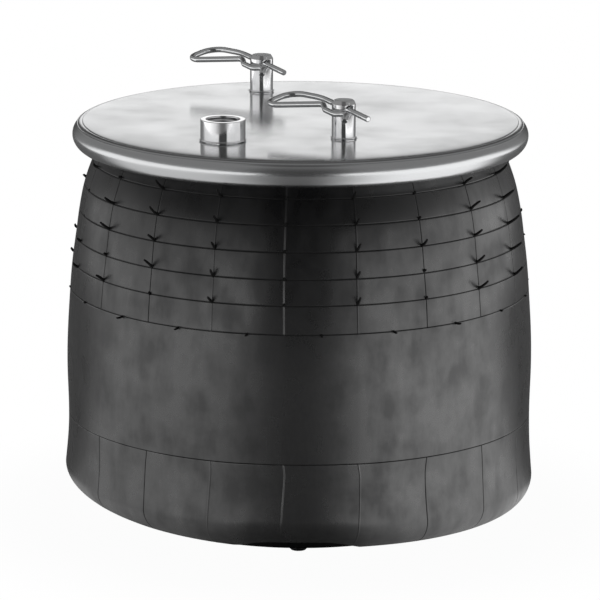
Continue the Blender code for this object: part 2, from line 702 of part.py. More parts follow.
def make_bead_clamp(material, parent):
    """Pressed disc with a raised ring, which holds the lower bead on the piston."""
    hole = CENTRE_SHANK_RADIUS + BOLT_PLAY
    swage_in = CLAMP_SWAGE_RADIUS - CLAMP_SWAGE_HALF
    swage_out = CLAMP_SWAGE_RADIUS + CLAMP_SWAGE_HALF
    slope_in = swage_in - CLAMP_SWAGE_SLOPE
    slope_out = swage_out + CLAMP_SWAGE_SLOPE
    outline = (
        (hole, 0.0),
        (slope_in, 0.0),
        (swage_in, CLAMP_SWAGE_HEIGHT),
        (swage_out, CLAMP_SWAGE_HEIGHT),
        (slope_out, 0.0),
        (CLAMP_RADIUS, 0.0),
        (CLAMP_RADIUS, CLAMP_SHEET - CLAMP_EDGE),
        (CLAMP_RADIUS - CLAMP_EDGE, CLAMP_SHEET),
        (slope_out, CLAMP_SHEET),
        (swage_out, CLAMP_SHEET + CLAMP_SWAGE_HEIGHT),
        (swage_in, CLAMP_SHEET + CLAMP_SWAGE_HEIGHT),
        (slope_in, CLAMP_SHEET),
        (hole, CLAMP_SHEET),
    )
    mesh = turned_mesh("bead_clamp", outline, ROUND_STEPS)
    return place("bead_clamp", mesh, material, (0.0, 0.0, CLAMP_BOTTOM), parent=parent)


def make_bump_stop(rubber, steel, parent):
    """Hollow rubber buffer with folds round it, on a steel foot."""
    height = BUFFER_TOP - BUFFER_BOTTOM
    outline = [(BUFFER_BORE_RADIUS, 0.0), (SEAT_RADIUS, 0.0)]
    levels = 2 * BUFFER_FOLD_COUNT
    for level in range(1, levels + 1):
        share = level / (levels + 1)
        radius = SEAT_RADIUS + (BUFFER_TOP_RADIUS - SEAT_RADIUS) * share
        if level % 2 == 1:
            radius -= BUFFER_WAIST
        outline.append((radius, height * share))
    outline += [
        (BUFFER_TOP_RADIUS, height - BUFFER_ROUND),
        (BUFFER_TOP_RADIUS - BUFFER_ROUND, height),
        (BUFFER_BORE_RADIUS, height),
    ]
    mesh = turned_mesh("bump_stop", outline, ROUND_STEPS // 2)
    buffer = place("bump_stop", mesh, rubber, (0.0, 0.0, BUFFER_BOTTOM), parent=parent)

    hole = CENTRE_SHANK_RADIUS + BOLT_PLAY
    outline = ((hole, 0.0), (SEAT_RADIUS, 0.0), (SEAT_RADIUS, SEAT_THICKNESS), (hole, SEAT_THICKNESS))
    mesh = turned_mesh("bump_stop_seat", outline, ROUND_STEPS // 2)
    place("bump_stop_seat", mesh, steel, (0.0, 0.0, SEAT_BOTTOM), parent=parent)
    return buffer


def make_centre_bolt(material, parent):
    """Bolt from the buffer's foot down through clamp and piston, with its washer and nut."""
    washer_top = TUBE_ROOF_LEVEL - GAP
    nut_top = washer_top - WASHER_THICKNESS - GAP
    bearing = SEAT_BOTTOM + SEAT_THICKNESS + GAP
    shank = bearing - nut_top + CENTRE_NUT_HEIGHT + CENTRE_END
    sizes = (CENTRE_FACE_RADIUS, CENTRE_CHAMFER, CENTRE_SHANK_RADIUS)
    bolt = hexagon_mesh("centre_bolt", CENTRE_CORNERS, CENTRE_HEAD_HEIGHT, *sizes, shank, 0.0)
    place("centre_bolt", bolt, material, (0.0, 0.0, bearing), (math.pi, 0.0, 0.0), parent)

    hole = CENTRE_SHANK_RADIUS + GAP
    outline = (
        (hole, -WASHER_THICKNESS),
        (WASHER_RADIUS, -WASHER_THICKNESS),
        (WASHER_RADIUS, 0.0),
        (hole, 0.0),
    )
    washer = turned_mesh("centre_washer", outline, SMALL_STEPS)
    place("centre_washer", washer, material, (0.0, 0.0, washer_top), parent=parent)

    nut = hexagon_mesh("centre_nut", CENTRE_CORNERS, CENTRE_NUT_HEIGHT, *sizes, 0.0, hole)
    place("centre_nut", nut, material, (0.0, 0.0, nut_top), parent=parent)


def main():
    """Build the spring."""
    clear_scene()
    zinc = make_material("zinc_plated_sheet", (0.62, 0.63, 0.64), 0.22, 1.0)
    bright = make_material("turned_steel", (0.70, 0.71, 0.72), 0.12, 1.0)
    wire = make_material("spring_wire", (0.66, 0.67, 0.68), 0.15, 1.0)
    rubber = make_material("sleeve_rubber", (0.018, 0.018, 0.019), 0.45, 0.0)
    plastic = make_material("moulded_nylon", (0.012, 0.012, 0.012), 0.55, 0.0)
    black_steel = make_material("black_steel", (0.010, 0.010, 0.011), 0.40, 0.0)
    plain_steel = make_material("plain_steel", (0.45, 0.46, 0.47), 0.35, 1.0)
    brass = make_material("brass_insert", (0.62, 0.45, 0.18), 0.35, 1.0)

    lower = empty("piston_body", (0.0, 0.0, 0.0))
    upper = empty("plate_body", (0.0, 0.0, PLATE_TOP))

    front_at = polar(FRONT_POST_FROM_AXIS, FRONT_POST_DIRECTION)
    rear_at = polar(REAR_POST_FROM_AXIS, REAR_POST_DIRECTION)
    make_bead_plate(zinc, upper)
    make_port(bright, upper)
    make_post("front_post", front_at, bright, upper)
    make_post("rear_post", rear_at, bright, upper)
    make_clip("front_clip", front_at, wire, upper)
    make_clip("rear_clip", rear_at, wire, upper)
    upper_floor = BEAD_BOTTOM + UPPER_BEAD_FLOOR - PLATE_TOP
    make_bead_wire("upper_bead_wire", UPPER_WIRE_RING_RADIUS, upper_floor, plain_steel, upper)

    make_bellows(rubber, lower)
    lower_floor = DECK_TOP + GAP + LOWER_BEAD_FLOOR
    make_bead_wire("lower_bead_wire", LOWER_WIRE_RING_RADIUS, lower_floor, plain_steel, lower)
    make_piston(plastic, lower)
    make_piston_core(plastic, lower)
    make_base_plate(black_steel, lower)
    make_base_fixings(black_steel, brass, lower)
    make_bead_clamp(plain_steel, lower)
    make_bump_stop(rubber, plain_steel, lower)
    make_centre_bolt(plain_steel, lower)


main()
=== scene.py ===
# %% [markdown]
# # Air suspension spring
#
# A truck's air spring has a pressed steel top plate, a rubber sleeve that rolls down a piston, and a steel
# foot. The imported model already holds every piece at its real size. This lesson dresses it: it keeps the
# model as a fixed frame, models the surfaces that show in finer meshes, and gives each one its finish.

import math
import random

import bmesh
import bpy
from mathutils import Euler, Matrix, Vector, noise


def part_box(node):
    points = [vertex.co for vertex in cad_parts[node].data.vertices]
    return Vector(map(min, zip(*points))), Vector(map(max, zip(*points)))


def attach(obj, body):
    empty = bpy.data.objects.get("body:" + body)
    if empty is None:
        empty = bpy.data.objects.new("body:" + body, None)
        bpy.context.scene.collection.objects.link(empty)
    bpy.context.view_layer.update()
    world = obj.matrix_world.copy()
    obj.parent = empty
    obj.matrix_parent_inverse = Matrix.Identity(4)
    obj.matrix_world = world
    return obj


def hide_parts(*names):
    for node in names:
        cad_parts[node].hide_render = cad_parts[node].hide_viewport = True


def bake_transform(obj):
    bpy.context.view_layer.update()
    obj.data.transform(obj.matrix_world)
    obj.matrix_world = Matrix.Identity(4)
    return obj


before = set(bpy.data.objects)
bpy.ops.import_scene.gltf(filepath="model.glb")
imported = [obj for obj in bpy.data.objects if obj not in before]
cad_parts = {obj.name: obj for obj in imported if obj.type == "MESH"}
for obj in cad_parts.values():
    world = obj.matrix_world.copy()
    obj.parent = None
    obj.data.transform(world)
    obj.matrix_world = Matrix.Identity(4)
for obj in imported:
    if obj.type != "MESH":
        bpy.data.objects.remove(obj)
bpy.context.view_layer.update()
MM = 0.001

# %% [markdown]
# ## The camera
#
# The photograph was taken from about 3.2 m with a long lens, looking a little down on the plate. A long lens
# far away keeps the plate's ellipse flat and the sleeve's sides parallel. A short lens near the object would
# give the same size in the frame, but it would show much more of the plate.

# %% Camera
CAMERA_DISTANCE = 3.2069
CAMERA_HEIGHT = 0.8803
CAMERA_LENS = 287.9
CAMERA_PITCH = math.radians(12.81)
CAMERA_HEADING = math.radians(-0.005)
CAMERA_ROLL = math.radians(0.296)

camera = bpy.data.objects.new("camera", bpy.data.cameras.new("camera"))
bpy.context.scene.collection.objects.link(camera)
camera.data.lens = CAMERA_LENS
camera.location = (0.0, -CAMERA_DISTANCE, CAMERA_HEIGHT)
heading = Matrix.Rotation(CAMERA_HEADING, 3, "Z")
pitch = Matrix.Rotation(math.pi / 2 - CAMERA_PITCH, 3, "X")
roll = Matrix.Rotation(CAMERA_ROLL, 3, "Z")
camera.rotation_euler = (heading @ pitch @ roll).to_euler()
bpy.context.scene.camera = camera
print("camera %.2f m away, %.0f mm lens" % (CAMERA_DISTANCE, CAMERA_LENS))

# %% [markdown]
# ## Colours and nodes
#
# Colours are picked as sRGB hex values, the way that a paint chart gives them. Blender's shaders work with
# linear light, so one function turns hex to linear. A second one feeds a node's inputs, and a third one adds
# a node with its settings and links, which keeps every material short. Two more write down inputs: those of a
# map range, which turns one value into another over a span, and those of a noise, by its cells' real size.

# %% Helpers for colours and nodes
def linear(hex_colour):
    """Return the linear RGBA of a hex colour."""
    channels = []
    for i in (1, 3, 5):
        value = int(hex_colour[i:i + 2], 16) / 255
        channels.append(value / 12.92 if value <= 0.04045 else ((value + 0.055) / 1.055) ** 2.4)
    return (*channels, 1.0)


def feed(tree, node, inputs):
    """Give inputs a value, or link an output to them. For a node, that is its first output."""
    for name, value in inputs.items():
        if isinstance(value, bpy.types.Node):
            value = value.outputs[0]
        if isinstance(value, bpy.types.NodeSocket):
            tree.links.new(value, node.inputs[name])
        else:
            node.inputs[name].default_value = value


def add_node(tree, kind, inputs=None, **settings):
    """Add a node with its settings and links."""
    made = tree.nodes.new("ShaderNode" + kind)
    for name, value in settings.items():
        setattr(made, name, value)
    feed(tree, made, inputs or {})
    return made


def between(value, span, low=0.0, high=1.0):
    """Return the inputs of a map range that goes from low to high while a value goes over a span."""
    return {"Value": value, "From Min": span[0], "From Max": span[1], "To Min": low, "To Max": high}


def cells(vector, millimetres, detail, roughness=0.5):
    """Return the inputs of a noise whose cells have a size in millimetres."""
    return {"Vector": vector, "Scale": 1 / (millimetres * MM), "Detail": detail, "Roughness": roughness}


def start_material(name, colour, roughness, metallic=0.0):
    """Return a new material, its node tree and its Principled shader."""
    material = bpy.data.materials.new(name)
    material.use_nodes = True
    tree = material.node_tree
    shader = tree.nodes["Principled BSDF"]
    feed(tree, shader, {"Base Color": linear(colour), "Roughness": roughness, "Metallic": metallic})
    return material, tree, shader


print("mid grey #808080 in linear light:", round(linear("#808080")[0], 3))

# %% [markdown]
# ## The studio
#
# The object stands on a round light table between two long upright panels. Table and panels glow most at the
# object's left and right. The glow fades towards the camera, which gives the sleeve its dark middle and each
# polished post its dark stripe, and it fades again behind the object, which keeps the sleeve's edges dark.
# Overhead is dim, and that darkens the upper turn of the rolled rim. One big soft box from above would be
# simpler, but it would wash all of these stripes out. Every fade is a smooth step, so no edge shows.

# %% Helper for the studio
SMOOTH = {"interpolation_type": "SMOOTHSTEP"}
WHITE = (1.0, 1.0, 1.0, 1.0)
LEVEL = (1.0, 1.0, 0.0)       # multiplying a direction by this makes it level
SIDE_CHANGE = (-0.1, 0.1)     # sine of the angle from the front, where left turns to right


def level_axes(tree, place):
    """Return a node with the X and Y of a place's level direction from the stroke axis."""
    level = add_node(tree, "VectorMath", {0: place, 1: LEVEL}, operation="MULTIPLY")
    heading = add_node(tree, "VectorMath", {0: level}, operation="NORMALIZE")
    return add_node(tree, "SeparateXYZ", {0: heading})


def side_glow(tree, front_fade, back_fade, strengths, lean=0.0):
    """Return a point's share of glow by its direction from the stroke axis, and the strength there.

    The fades are the sines at which the glow comes up and goes down. The strengths are those at the left and
    right. The lean moves the back fade towards the front.
    """
    axes = level_axes(tree, add_node(tree, "NewGeometry").outputs["Position"])
    aside = add_node(tree, "Math", {0: axes.outputs["X"]}, operation="ABSOLUTE")
    aside = add_node(tree, "MapRange", between(aside, front_fade), **SMOOTH)
    back = add_node(tree, "Math", {0: axes.outputs["Y"], 1: lean}, operation="ADD")
    ahead = add_node(tree, "MapRange", between(back, back_fade, 1.0, 0.0), **SMOOTH)
    strength = add_node(tree, "MapRange", between(axes.outputs["X"], SIDE_CHANGE, *strengths), **SMOOTH)
    return add_node(tree, "Math", {0: aside, 1: ahead}, operation="MULTIPLY"), strength


print("the glow changes sides over sines", SIDE_CHANGE)

# %% [markdown]
# ## Room
#
# The camera sees white all round. Polished metal sees the same white straight behind the object, where the
# flat top plate mirrors it: that white starts just over the horizon and ends not far above it. Elsewhere the
# room is dim: darkest beside the camera, lighter overhead and lightest at the sides.

# %% Room
ROOM_FRONT = 0.064
ROOM_OVERHEAD = 0.20
ROOM_SIDES = 0.26
OVERHEAD_POWER = 4.0              # how late the room gets lighter on the way up
SIDES_FADE = (0.10, 0.65)         # sine of the angle from the view's direction
BACKDROP_SIDES = (0.975, 0.993)   # cosine of the angle from straight behind, where the white ends
BACKDROP_FOOT = (0.02, 0.08)      # sine of the height over the horizon, where the white starts
BACKDROP_TOP = (0.205, 0.29)      # the same, where it ends
BACKDROP_WHITE = 1.12

world = bpy.data.worlds.new("studio")
bpy.context.scene.world = world
world.use_nodes = True
tree = world.node_tree
tree.nodes.clear()
ray = add_node(tree, "TexCoord").outputs["Generated"]
axes = add_node(tree, "SeparateXYZ", {0: ray})
across = level_axes(tree, ray)

climb = add_node(tree, "Math", {0: axes.outputs["Z"], 1: 0.0}, operation="MAXIMUM")
climb = add_node(tree, "Math", {0: climb, 1: OVERHEAD_POWER}, operation="POWER")
dim = {0: climb, 1: ROOM_OVERHEAD - ROOM_FRONT, 2: ROOM_FRONT}
dim = add_node(tree, "Math", dim, operation="MULTIPLY_ADD")
aside = add_node(tree, "Math", {0: across.outputs["X"]}, operation="ABSOLUTE")
aside = add_node(tree, "MapRange", between(aside, SIDES_FADE, 0.0, ROOM_SIDES), **SMOOTH)
dim = add_node(tree, "Math", {0: dim, 1: aside}, operation="MAXIMUM")

backdrop_edges = (
    between(across.outputs["Y"], BACKDROP_SIDES),
    between(axes.outputs["Z"], BACKDROP_FOOT),
    between(axes.outputs["Z"], BACKDROP_TOP, 1.0, 0.0),
)
backdrop = BACKDROP_WHITE
for edge in backdrop_edges:
    fade = add_node(tree, "MapRange", edge, **SMOOTH)
    backdrop = add_node(tree, "Math", {0: backdrop, 1: fade}, operation="MULTIPLY")
strength = add_node(tree, "Math", {0: dim, 1: backdrop}, operation="MAXIMUM")
room = add_node(tree, "Background", {"Color": WHITE, "Strength": strength})
white = add_node(tree, "Background", {"Color": WHITE, "Strength": 1.0})
rays = add_node(tree, "LightPath")
seen = add_node(tree, "MixShader", {0: rays.outputs["Is Camera Ray"], 1: room, 2: white})
add_node(tree, "OutputWorld", {"Surface": seen})
bpy.context.scene.view_settings.view_transform = "Standard"
print("room: %.2f in front, %.2f overhead" % (ROOM_FRONT, ROOM_OVERHEAD))

# %% [markdown]
# ## Light table
#
# The table is opal acrylic, lit from below. It starts to glow just outside the object's shadow. The camera
# sees it as plain white, with a little of the soft shadow that the object really throws on it.

# %% Light table
TABLE_RADIUS = 2.2
TABLE_GREY = "#b4b4b4"
TABLE_ROUGHNESS = 0.9
GLOW_START = (0.10, 0.20)     # metres from the stroke axis, where the glow begins
SHADOW_KEPT = 0.03            # share of the table's own shading that the camera sees
SHADOW_REACH = (0.16, 0.30)
TABLE_GLOW = (0.61, 1.10)     # left and right of the object
TABLE_FRONT_FADE = (0.08, 0.80)
TABLE_BACK_FADE = (0.0, 0.5)

bpy.ops.mesh.primitive_circle_add(vertices=128, radius=TABLE_RADIUS, fill_type="NGON")
table = bpy.context.object
table.name = "light_table"
acrylic, tree = start_material("opal_acrylic_table", TABLE_GREY, TABLE_ROUGHNESS)[:2]
place = add_node(tree, "NewGeometry").outputs["Position"]
reach = add_node(tree, "VectorMath", {0: place}, operation="LENGTH").outputs["Value"]
share, strength = side_glow(tree, TABLE_FRONT_FADE, TABLE_BACK_FADE, TABLE_GLOW)
start = add_node(tree, "MapRange", between(reach, GLOW_START), **SMOOTH)
lit = add_node(tree, "Math", {0: share, 1: strength}, operation="MULTIPLY")
lit = add_node(tree, "Math", {0: lit, 1: start}, operation="MULTIPLY")
glow = add_node(tree, "Emission", {"Color": WHITE, "Strength": lit})
matt = add_node(tree, "BsdfDiffuse", {"Color": linear(TABLE_GREY)})
working = add_node(tree, "AddShader", {0: matt, 1: glow})
shade = add_node(tree, "MapRange", between(reach, SHADOW_REACH, SHADOW_KEPT, 0.0), **SMOOTH)
white = add_node(tree, "Emission", {"Color": WHITE, "Strength": 1.0})
shown = add_node(tree, "MixShader", {0: shade, 1: white, 2: matt})
rays = add_node(tree, "LightPath")
final = add_node(tree, "MixShader", {0: rays.outputs["Is Camera Ray"], 1: working, 2: shown})
feed(tree, tree.nodes["Material Output"], {"Surface": final})
table.data.materials.append(acrylic)
print("light table of radius %.1f m" % TABLE_RADIUS)

# %% [markdown]
# ## Side panels
#
# Two long upright panels light the posts, the port and the clips: their walls mirror the plate, and the
# plate mirrors what stands about eleven degrees over the horizon. Higher up the panels turn clear, or the
# rubber under the rim would shine. Area lamps could light the steel too, but a glowing sheet of silk can fade
# away where it likes, and lets the room be seen through it there.

# %% Side panels
PANEL_SIDE = 1.45             # stroke axis to a side panel
PANEL_NEAR = -4.2             # the panels' ends, along the view
PANEL_FAR = 5.0
PANEL_HEIGHT = 1.90
PANEL_GLOW = (1.25, 1.35)
PANEL_FRONT_FADE = (0.24, 0.42)
PANEL_BACK_FADE = (0.35, 0.75)
PANEL_TOP_FADE = (0.15, 0.26)  # sine of the height over the plate's horizon, where the glow ends
PANEL_LEAN = 1.5              # how much sooner the glow ends at the back for each unit of that sine
PANEL_EYE = (0.0, 0.0, 0.28)  # the plate's place


def lit_silk():
    """Return the panels' material, which glows low at the sides and is clear elsewhere."""
    silk = bpy.data.materials.new("lit_silk")
    silk.use_nodes = True
    tree = silk.node_tree
    tree.nodes.clear()
    place = add_node(tree, "NewGeometry").outputs["Position"]
    above = add_node(tree, "VectorMath", {0: place, 1: PANEL_EYE}, operation="SUBTRACT")
    height = add_node(tree, "VectorMath", {0: above}, operation="NORMALIZE")
    climb = add_node(tree, "SeparateXYZ", {0: height}).outputs["Z"]
    lean = add_node(tree, "Math", {0: climb, 1: PANEL_LEAN}, operation="MULTIPLY").outputs[0]
    share, strength = side_glow(tree, PANEL_FRONT_FADE, PANEL_BACK_FADE, PANEL_GLOW, lean)
    under = add_node(tree, "MapRange", between(climb, PANEL_TOP_FADE, 1.0, 0.0), **SMOOTH)
    share = add_node(tree, "Math", {0: share, 1: under}, operation="MULTIPLY")
    clear = add_node(tree, "BsdfTransparent")
    glow = add_node(tree, "Emission", {"Color": WHITE, "Strength": strength})
    veil = add_node(tree, "MixShader", {0: share, 1: clear, 2: glow})
    add_node(tree, "OutputMaterial", {"Surface": veil})
    return silk


def side_panel(side, silk):
    """Add an upright glowing panel that the camera doesn't see."""
    work = bmesh.new()
    low, high = side * PANEL_SIDE, PANEL_HEIGHT
    corners = ((low, PANEL_NEAR, 0.0), (low, PANEL_FAR, 0.0), (low, PANEL_FAR, high), (low, PANEL_NEAR, high))
    work.faces.new([work.verts.new(corner) for corner in corners])
    mesh = bpy.data.meshes.new("side_panel")
    work.to_mesh(mesh)
    work.free()
    mesh.materials.append(silk)
    panel = bpy.data.objects.new("side_panel", mesh)
    bpy.context.scene.collection.objects.link(panel)
    panel.visible_camera = False
    return panel


silk = lit_silk()
panels = [side_panel(side, silk) for side in (-1, 1)]
print("%d side panels, %.2f m high" % (len(panels), PANEL_HEIGHT))

# %% [markdown]
# ## Sizes from the frame
#
# Every finer mesh has to sit where the frame's piece is. Its radii and levels are read from the boxes of the
# frame's nodes, so nothing drifts when the model is packed again.

# %% Sizes read from the frame
def extent(node):
    """Return the centre, half width and lowest and highest level of a node."""
    low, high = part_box(node)
    return (low + high) / 2, (high.x - low.x) / 2, low.z, high.z


PLATE_RADIUS, ROLL_BOTTOM, PLATE_TOP = extent("bead_plate")[1:]
LOBE_RADIUS, LOBE_BOTTOM = extent("bellows")[1:3]
BASE_RADIUS, BASE_BOTTOM, BASE_TOP = extent("base_plate")[1:]
PISTON_RADIUS = extent("piston")[1]
PLATE_SHEET = 3.0 * MM
ROLL_RADIUS = 9.1 * MM
ROLL_RING = PLATE_RADIUS - ROLL_RADIUS
ROLL_LEVEL = ROLL_BOTTOM + ROLL_RADIUS
GAP = 0.3 * MM
print("plate radius %.1f mm, top at %.1f mm" % (PLATE_RADIUS / MM, PLATE_TOP / MM))
print("lobe radius %.1f mm, lowest at %.1f mm" % (LOBE_RADIUS / MM, LOBE_BOTTOM / MM))

# %% [markdown]
# ## Turned shapes
#
# Plate, posts, port and foot are all round about an axis. They could be cylinders with bevels, but a lathe
# profile gives every groove and chamfer in one mesh: a closed outline of radius and height is swept round.

# %% Helpers for turned meshes
def arc(centre, radii, start, end, steps):
    """Return (radius, height) points along an ellipse, from one angle in degrees to another."""
    points = []
    for step in range(steps + 1):
        angle = math.radians(start + (end - start) * step / steps)
        points.append((centre[0] + radii[0] * math.cos(angle), centre[1] + radii[1] * math.sin(angle)))
    return points


def turned(name, outline, segments, wander=None):
    """Sweep a closed (radius, height) outline round Z. wander moves a point by its place and angle."""
    work = bmesh.new()
    rings = []
    for radius, height in outline:
        ring = []
        for i in range(segments if radius > 0.0 else 1):
            angle = math.tau * i / segments
            out, up = (0.0, 0.0) if wander is None else wander(radius, height, angle)
            spot = ((radius + out) * math.cos(angle), (radius + out) * math.sin(angle), height + up)
            ring.append(work.verts.new(spot))
        rings.append(ring)
    for k, ring in enumerate(rings):
        before = rings[k - 1]
        for i in range(segments):
            j = (i + 1) % segments
            corners = [before[i % len(before)], before[j % len(before)]]
            corners += [ring[j % len(ring)], ring[i % len(ring)]]
            corners = list(dict.fromkeys(corners))
            if len(corners) > 2:
                work.faces.new(corners)
    return finished(name, work)


def finished(name, work, sharp=35.0):
    """Turn a bmesh into an object with outward faces, smooth where it is round."""
    bmesh.ops.recalc_face_normals(work, faces=work.faces)
    mesh = bpy.data.meshes.new(name)
    work.to_mesh(mesh)
    work.free()
    mesh.shade_smooth()
    mesh.set_sharp_from_angle(angle=math.radians(sharp))
    piece = bpy.data.objects.new(name, mesh)
    bpy.context.scene.collection.objects.link(piece)
    return piece


def drilled(piece, tools):
    """Cut tools out of a piece, apply the cuts and even out the shading of flat faces."""
    for tool in tools:
        cut = piece.modifiers.new(tool.name, "BOOLEAN")
        cut.solver = "EXACT"
        cut.object = tool
    weighted = piece.modifiers.new("even_flats", "WEIGHTED_NORMAL")
    weighted.keep_sharp = True
    bpy.context.view_layer.update()
    mesh = bpy.data.meshes.new_from_object(piece.evaluated_get(bpy.context.evaluated_depsgraph_get()))
    piece.modifiers.clear()
    piece.data = mesh
    for tool in tools:
        bpy.data.objects.remove(tool, do_unlink=True)
    return piece


def peg(radius, low, high, at, segments=64):
    """Return an upright round tool."""
    work = bmesh.new()
    place = Matrix.Translation((at[0], at[1], (low + high) / 2))
    sizes = {"radius1": radius, "radius2": radius, "depth": high - low}
    bmesh.ops.create_cone(work, cap_ends=True, segments=segments, matrix=place, **sizes)
    return finished("peg", work)


print("turned shapes are ready")

# %% [markdown]
# ## Top plate
#
# The plate is pressed from 3 mm sheet. Its shoulder falls away a little, its rim is folded down, which leaves
# two fine fold lines, and then it is curled round the sleeve's bead in a full roll. The roll mirrors the
# whole studio in narrow bands, so it needs a truly round outline with many points. The sheet's own thickness
# follows inside the roll.

# %% Top plate
PLATE_SEGMENTS = 240
FOLD_RADIUS = 148.3 * MM
FOLDS = (                     # mm past the fold's radius and below the plate's top
    (-3.0, 0.46),
    (-1.2, 0.60),
    (-0.5, 0.68),
    (-0.1, 1.00),
    (0.4, 0.94),
    (1.2, 1.10),
    (2.0, 1.42),
    (2.6, 1.74),
    (2.9, 2.14),
    (3.3, 2.16),
    (3.7, 2.42),
)
FLAT_RADIUS = 104.0 * MM
FLAT_RINGS = 14               # close rings keep the flat's shading even round the holes
SHOULDER = (                  # radius and drop below the plate's top, in mm
    (112.0, 0.01),
    (120.0, 0.04),
    (127.0, 0.09),
    (133.0, 0.16),
    (138.0, 0.24),
    (142.0, 0.34),
)
ROLL_START = 45.0             # degrees, where the roll begins outside
ROLL_INSIDE = ROLL_RADIUS - PLATE_SHEET
NECK_RADIUS = 138.8 * MM


def plate_outline():
    """Return the plate's outline from its middle out over the roll and back along its underside."""
    roll = (ROLL_RING, ROLL_LEVEL)
    points = [(FLAT_RADIUS * step / FLAT_RINGS, PLATE_TOP) for step in range(FLAT_RINGS + 1)]
    points += [(radius * MM, PLATE_TOP - drop * MM) for radius, drop in SHOULDER]
    points += [(FOLD_RADIUS + out * MM, PLATE_TOP - drop * MM) for out, drop in FOLDS]
    points += arc(roll, (ROLL_RADIUS, ROLL_RADIUS), ROLL_START, -90.0, 40)
    points.append((NECK_RADIUS + GAP, ROLL_BOTTOM))
    points.append((NECK_RADIUS + GAP, ROLL_BOTTOM + PLATE_SHEET))
    points += arc(roll, (ROLL_INSIDE, ROLL_INSIDE), -90.0, 80.0, 12)
    points.append((ROLL_RING - ROLL_INSIDE / 2, PLATE_TOP - PLATE_SHEET))
    points.append((0.0, PLATE_TOP - PLATE_SHEET))
    return points


def post_place(node):
    """Return the place of a post or of the port on the plate."""
    centre = extent(node)[0]
    return (centre.x, centre.y)


front_post_at = post_place("front_post")
rear_post_at = post_place("rear_post")
port_at = post_place("air_inlet_boss")
POST_RADIUS = 8.0 * MM
PORT_SPIGOT = 12.7 * MM

plate = turned("rolled_plate", plate_outline(), PLATE_SEGMENTS)
below = PLATE_TOP - PLATE_SHEET - GAP
above = PLATE_TOP + GAP
holes = ((POST_RADIUS, front_post_at), (POST_RADIUS, rear_post_at), (PORT_SPIGOT, port_at))
drilled(plate, [peg(radius + GAP, below, above, at) for radius, at in holes])
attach(plate, "plate_body")
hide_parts("bead_plate")
print("rolled_plate: %d faces" % len(plate.data.polygons))

# %% [markdown]
# ## Locating posts
#
# Each post is turned from 16 mm bar, chamfered at its tip, cross-drilled for its clip and welded to the
# plate with a fine ring of weld. The ring isn't perfectly round, so its radius wanders a little.

# %% Locating posts
POST_TIP_RADIUS = 6.5 * MM
POST_TIP_HEIGHT = 2.5 * MM
CHAMFER_BREAK = (0.15 * MM, 0.08 * MM)   # down and in, at the foot of the chamfer
TIP_BREAK = (0.12 * MM, 0.1 * MM)        # down and in, at its top
EDGE_ROUND = 0.4 * MM
UNDER_PLATE = -PLATE_SHEET - GAP
WELD_WIDTH = 0.7 * MM
WELD_HEIGHT = 1.2 * MM
FLANGE_RADIUS = 12.0 * MM
WELD_WANDER = 0.18 * MM
WELD_CELLS = 3.0              # bulges of the weld along one radius
FLANGE_THICKNESS = 3.0 * MM
CLIP_HEADING = math.radians(-60.0)
POST_HOLE_RADIUS = 3.0 * MM
POST_HOLE_DROP = 5.5 * MM
DRILL_REACH = 12.0 * MM
TURNED_SEGMENTS = 72


def weld_wander(radius, height, angle):
    """Move the weld ring's points in and out as a hand-made weld does."""
    if height > WELD_HEIGHT + GAP or height < GAP / 2:
        return 0.0, 0.0
    shift = noise.noise(Vector((math.cos(angle) * WELD_CELLS, math.sin(angle) * WELD_CELLS, radius / MM)))
    return shift * WELD_WANDER, 0.0


def foot_outline(bore, flange, thickness, spigot, outside):
    """Return an outline from the flange under the plate, whose top is at zero, up over the ring of weld."""
    points = [
        (bore, UNDER_PLATE - thickness),
        (flange - EDGE_ROUND, UNDER_PLATE - thickness),
        (flange, UNDER_PLATE - thickness + EDGE_ROUND),
        (flange, UNDER_PLATE),
        (spigot, UNDER_PLATE),
        (spigot, GAP),
        (outside, GAP),
    ]
    weld = arc((outside, GAP + WELD_HEIGHT / 2), (WELD_WIDTH, WELD_HEIGHT / 2), -90.0, 90.0, 8)
    return list(dict.fromkeys(points)) + weld


def make_post(name, node, at):
    """Build one post in its own frame and put it on the plate."""
    tip = extent(node)[3] - PLATE_TOP
    outline = foot_outline(0.0, FLANGE_RADIUS, FLANGE_THICKNESS, POST_RADIUS, POST_RADIUS)
    outline += [
        (POST_RADIUS, tip - POST_TIP_HEIGHT - CHAMFER_BREAK[0]),
        (POST_RADIUS - CHAMFER_BREAK[1], tip - POST_TIP_HEIGHT),
        (POST_TIP_RADIUS + TIP_BREAK[0], tip - TIP_BREAK[0]),
        (POST_TIP_RADIUS - TIP_BREAK[1], tip),
        (0.0, tip),
    ]
    post = turned(name, outline, TURNED_SEGMENTS, weld_wander)
    drill = peg(POST_HOLE_RADIUS, -DRILL_REACH, DRILL_REACH, (0.0, 0.0), 48)
    drill.rotation_euler = (0.0, math.pi / 2, CLIP_HEADING)
    drill.location = (0.0, 0.0, tip - POST_HOLE_DROP)
    drilled(post, [drill])
    post.location = (at[0], at[1], PLATE_TOP)
    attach(post, "plate_body")
    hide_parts(node)
    return post


posts = [make_post("front_locating_post", "front_post", front_post_at)]
posts.append(make_post("rear_locating_post", "rear_post", rear_post_at))
print("posts at", [tuple(round(value / MM, 1) for value in post.location[:2]) for post in posts])

# %% [markdown]
# ## Air port
#
# The port is a turned bush with an M22 x 1.5 thread. The thread could be a bump on the bore, but a real helix
# catches the light as the eye looks in, so a triangular ridge is swept along a helix on the bore's wall.

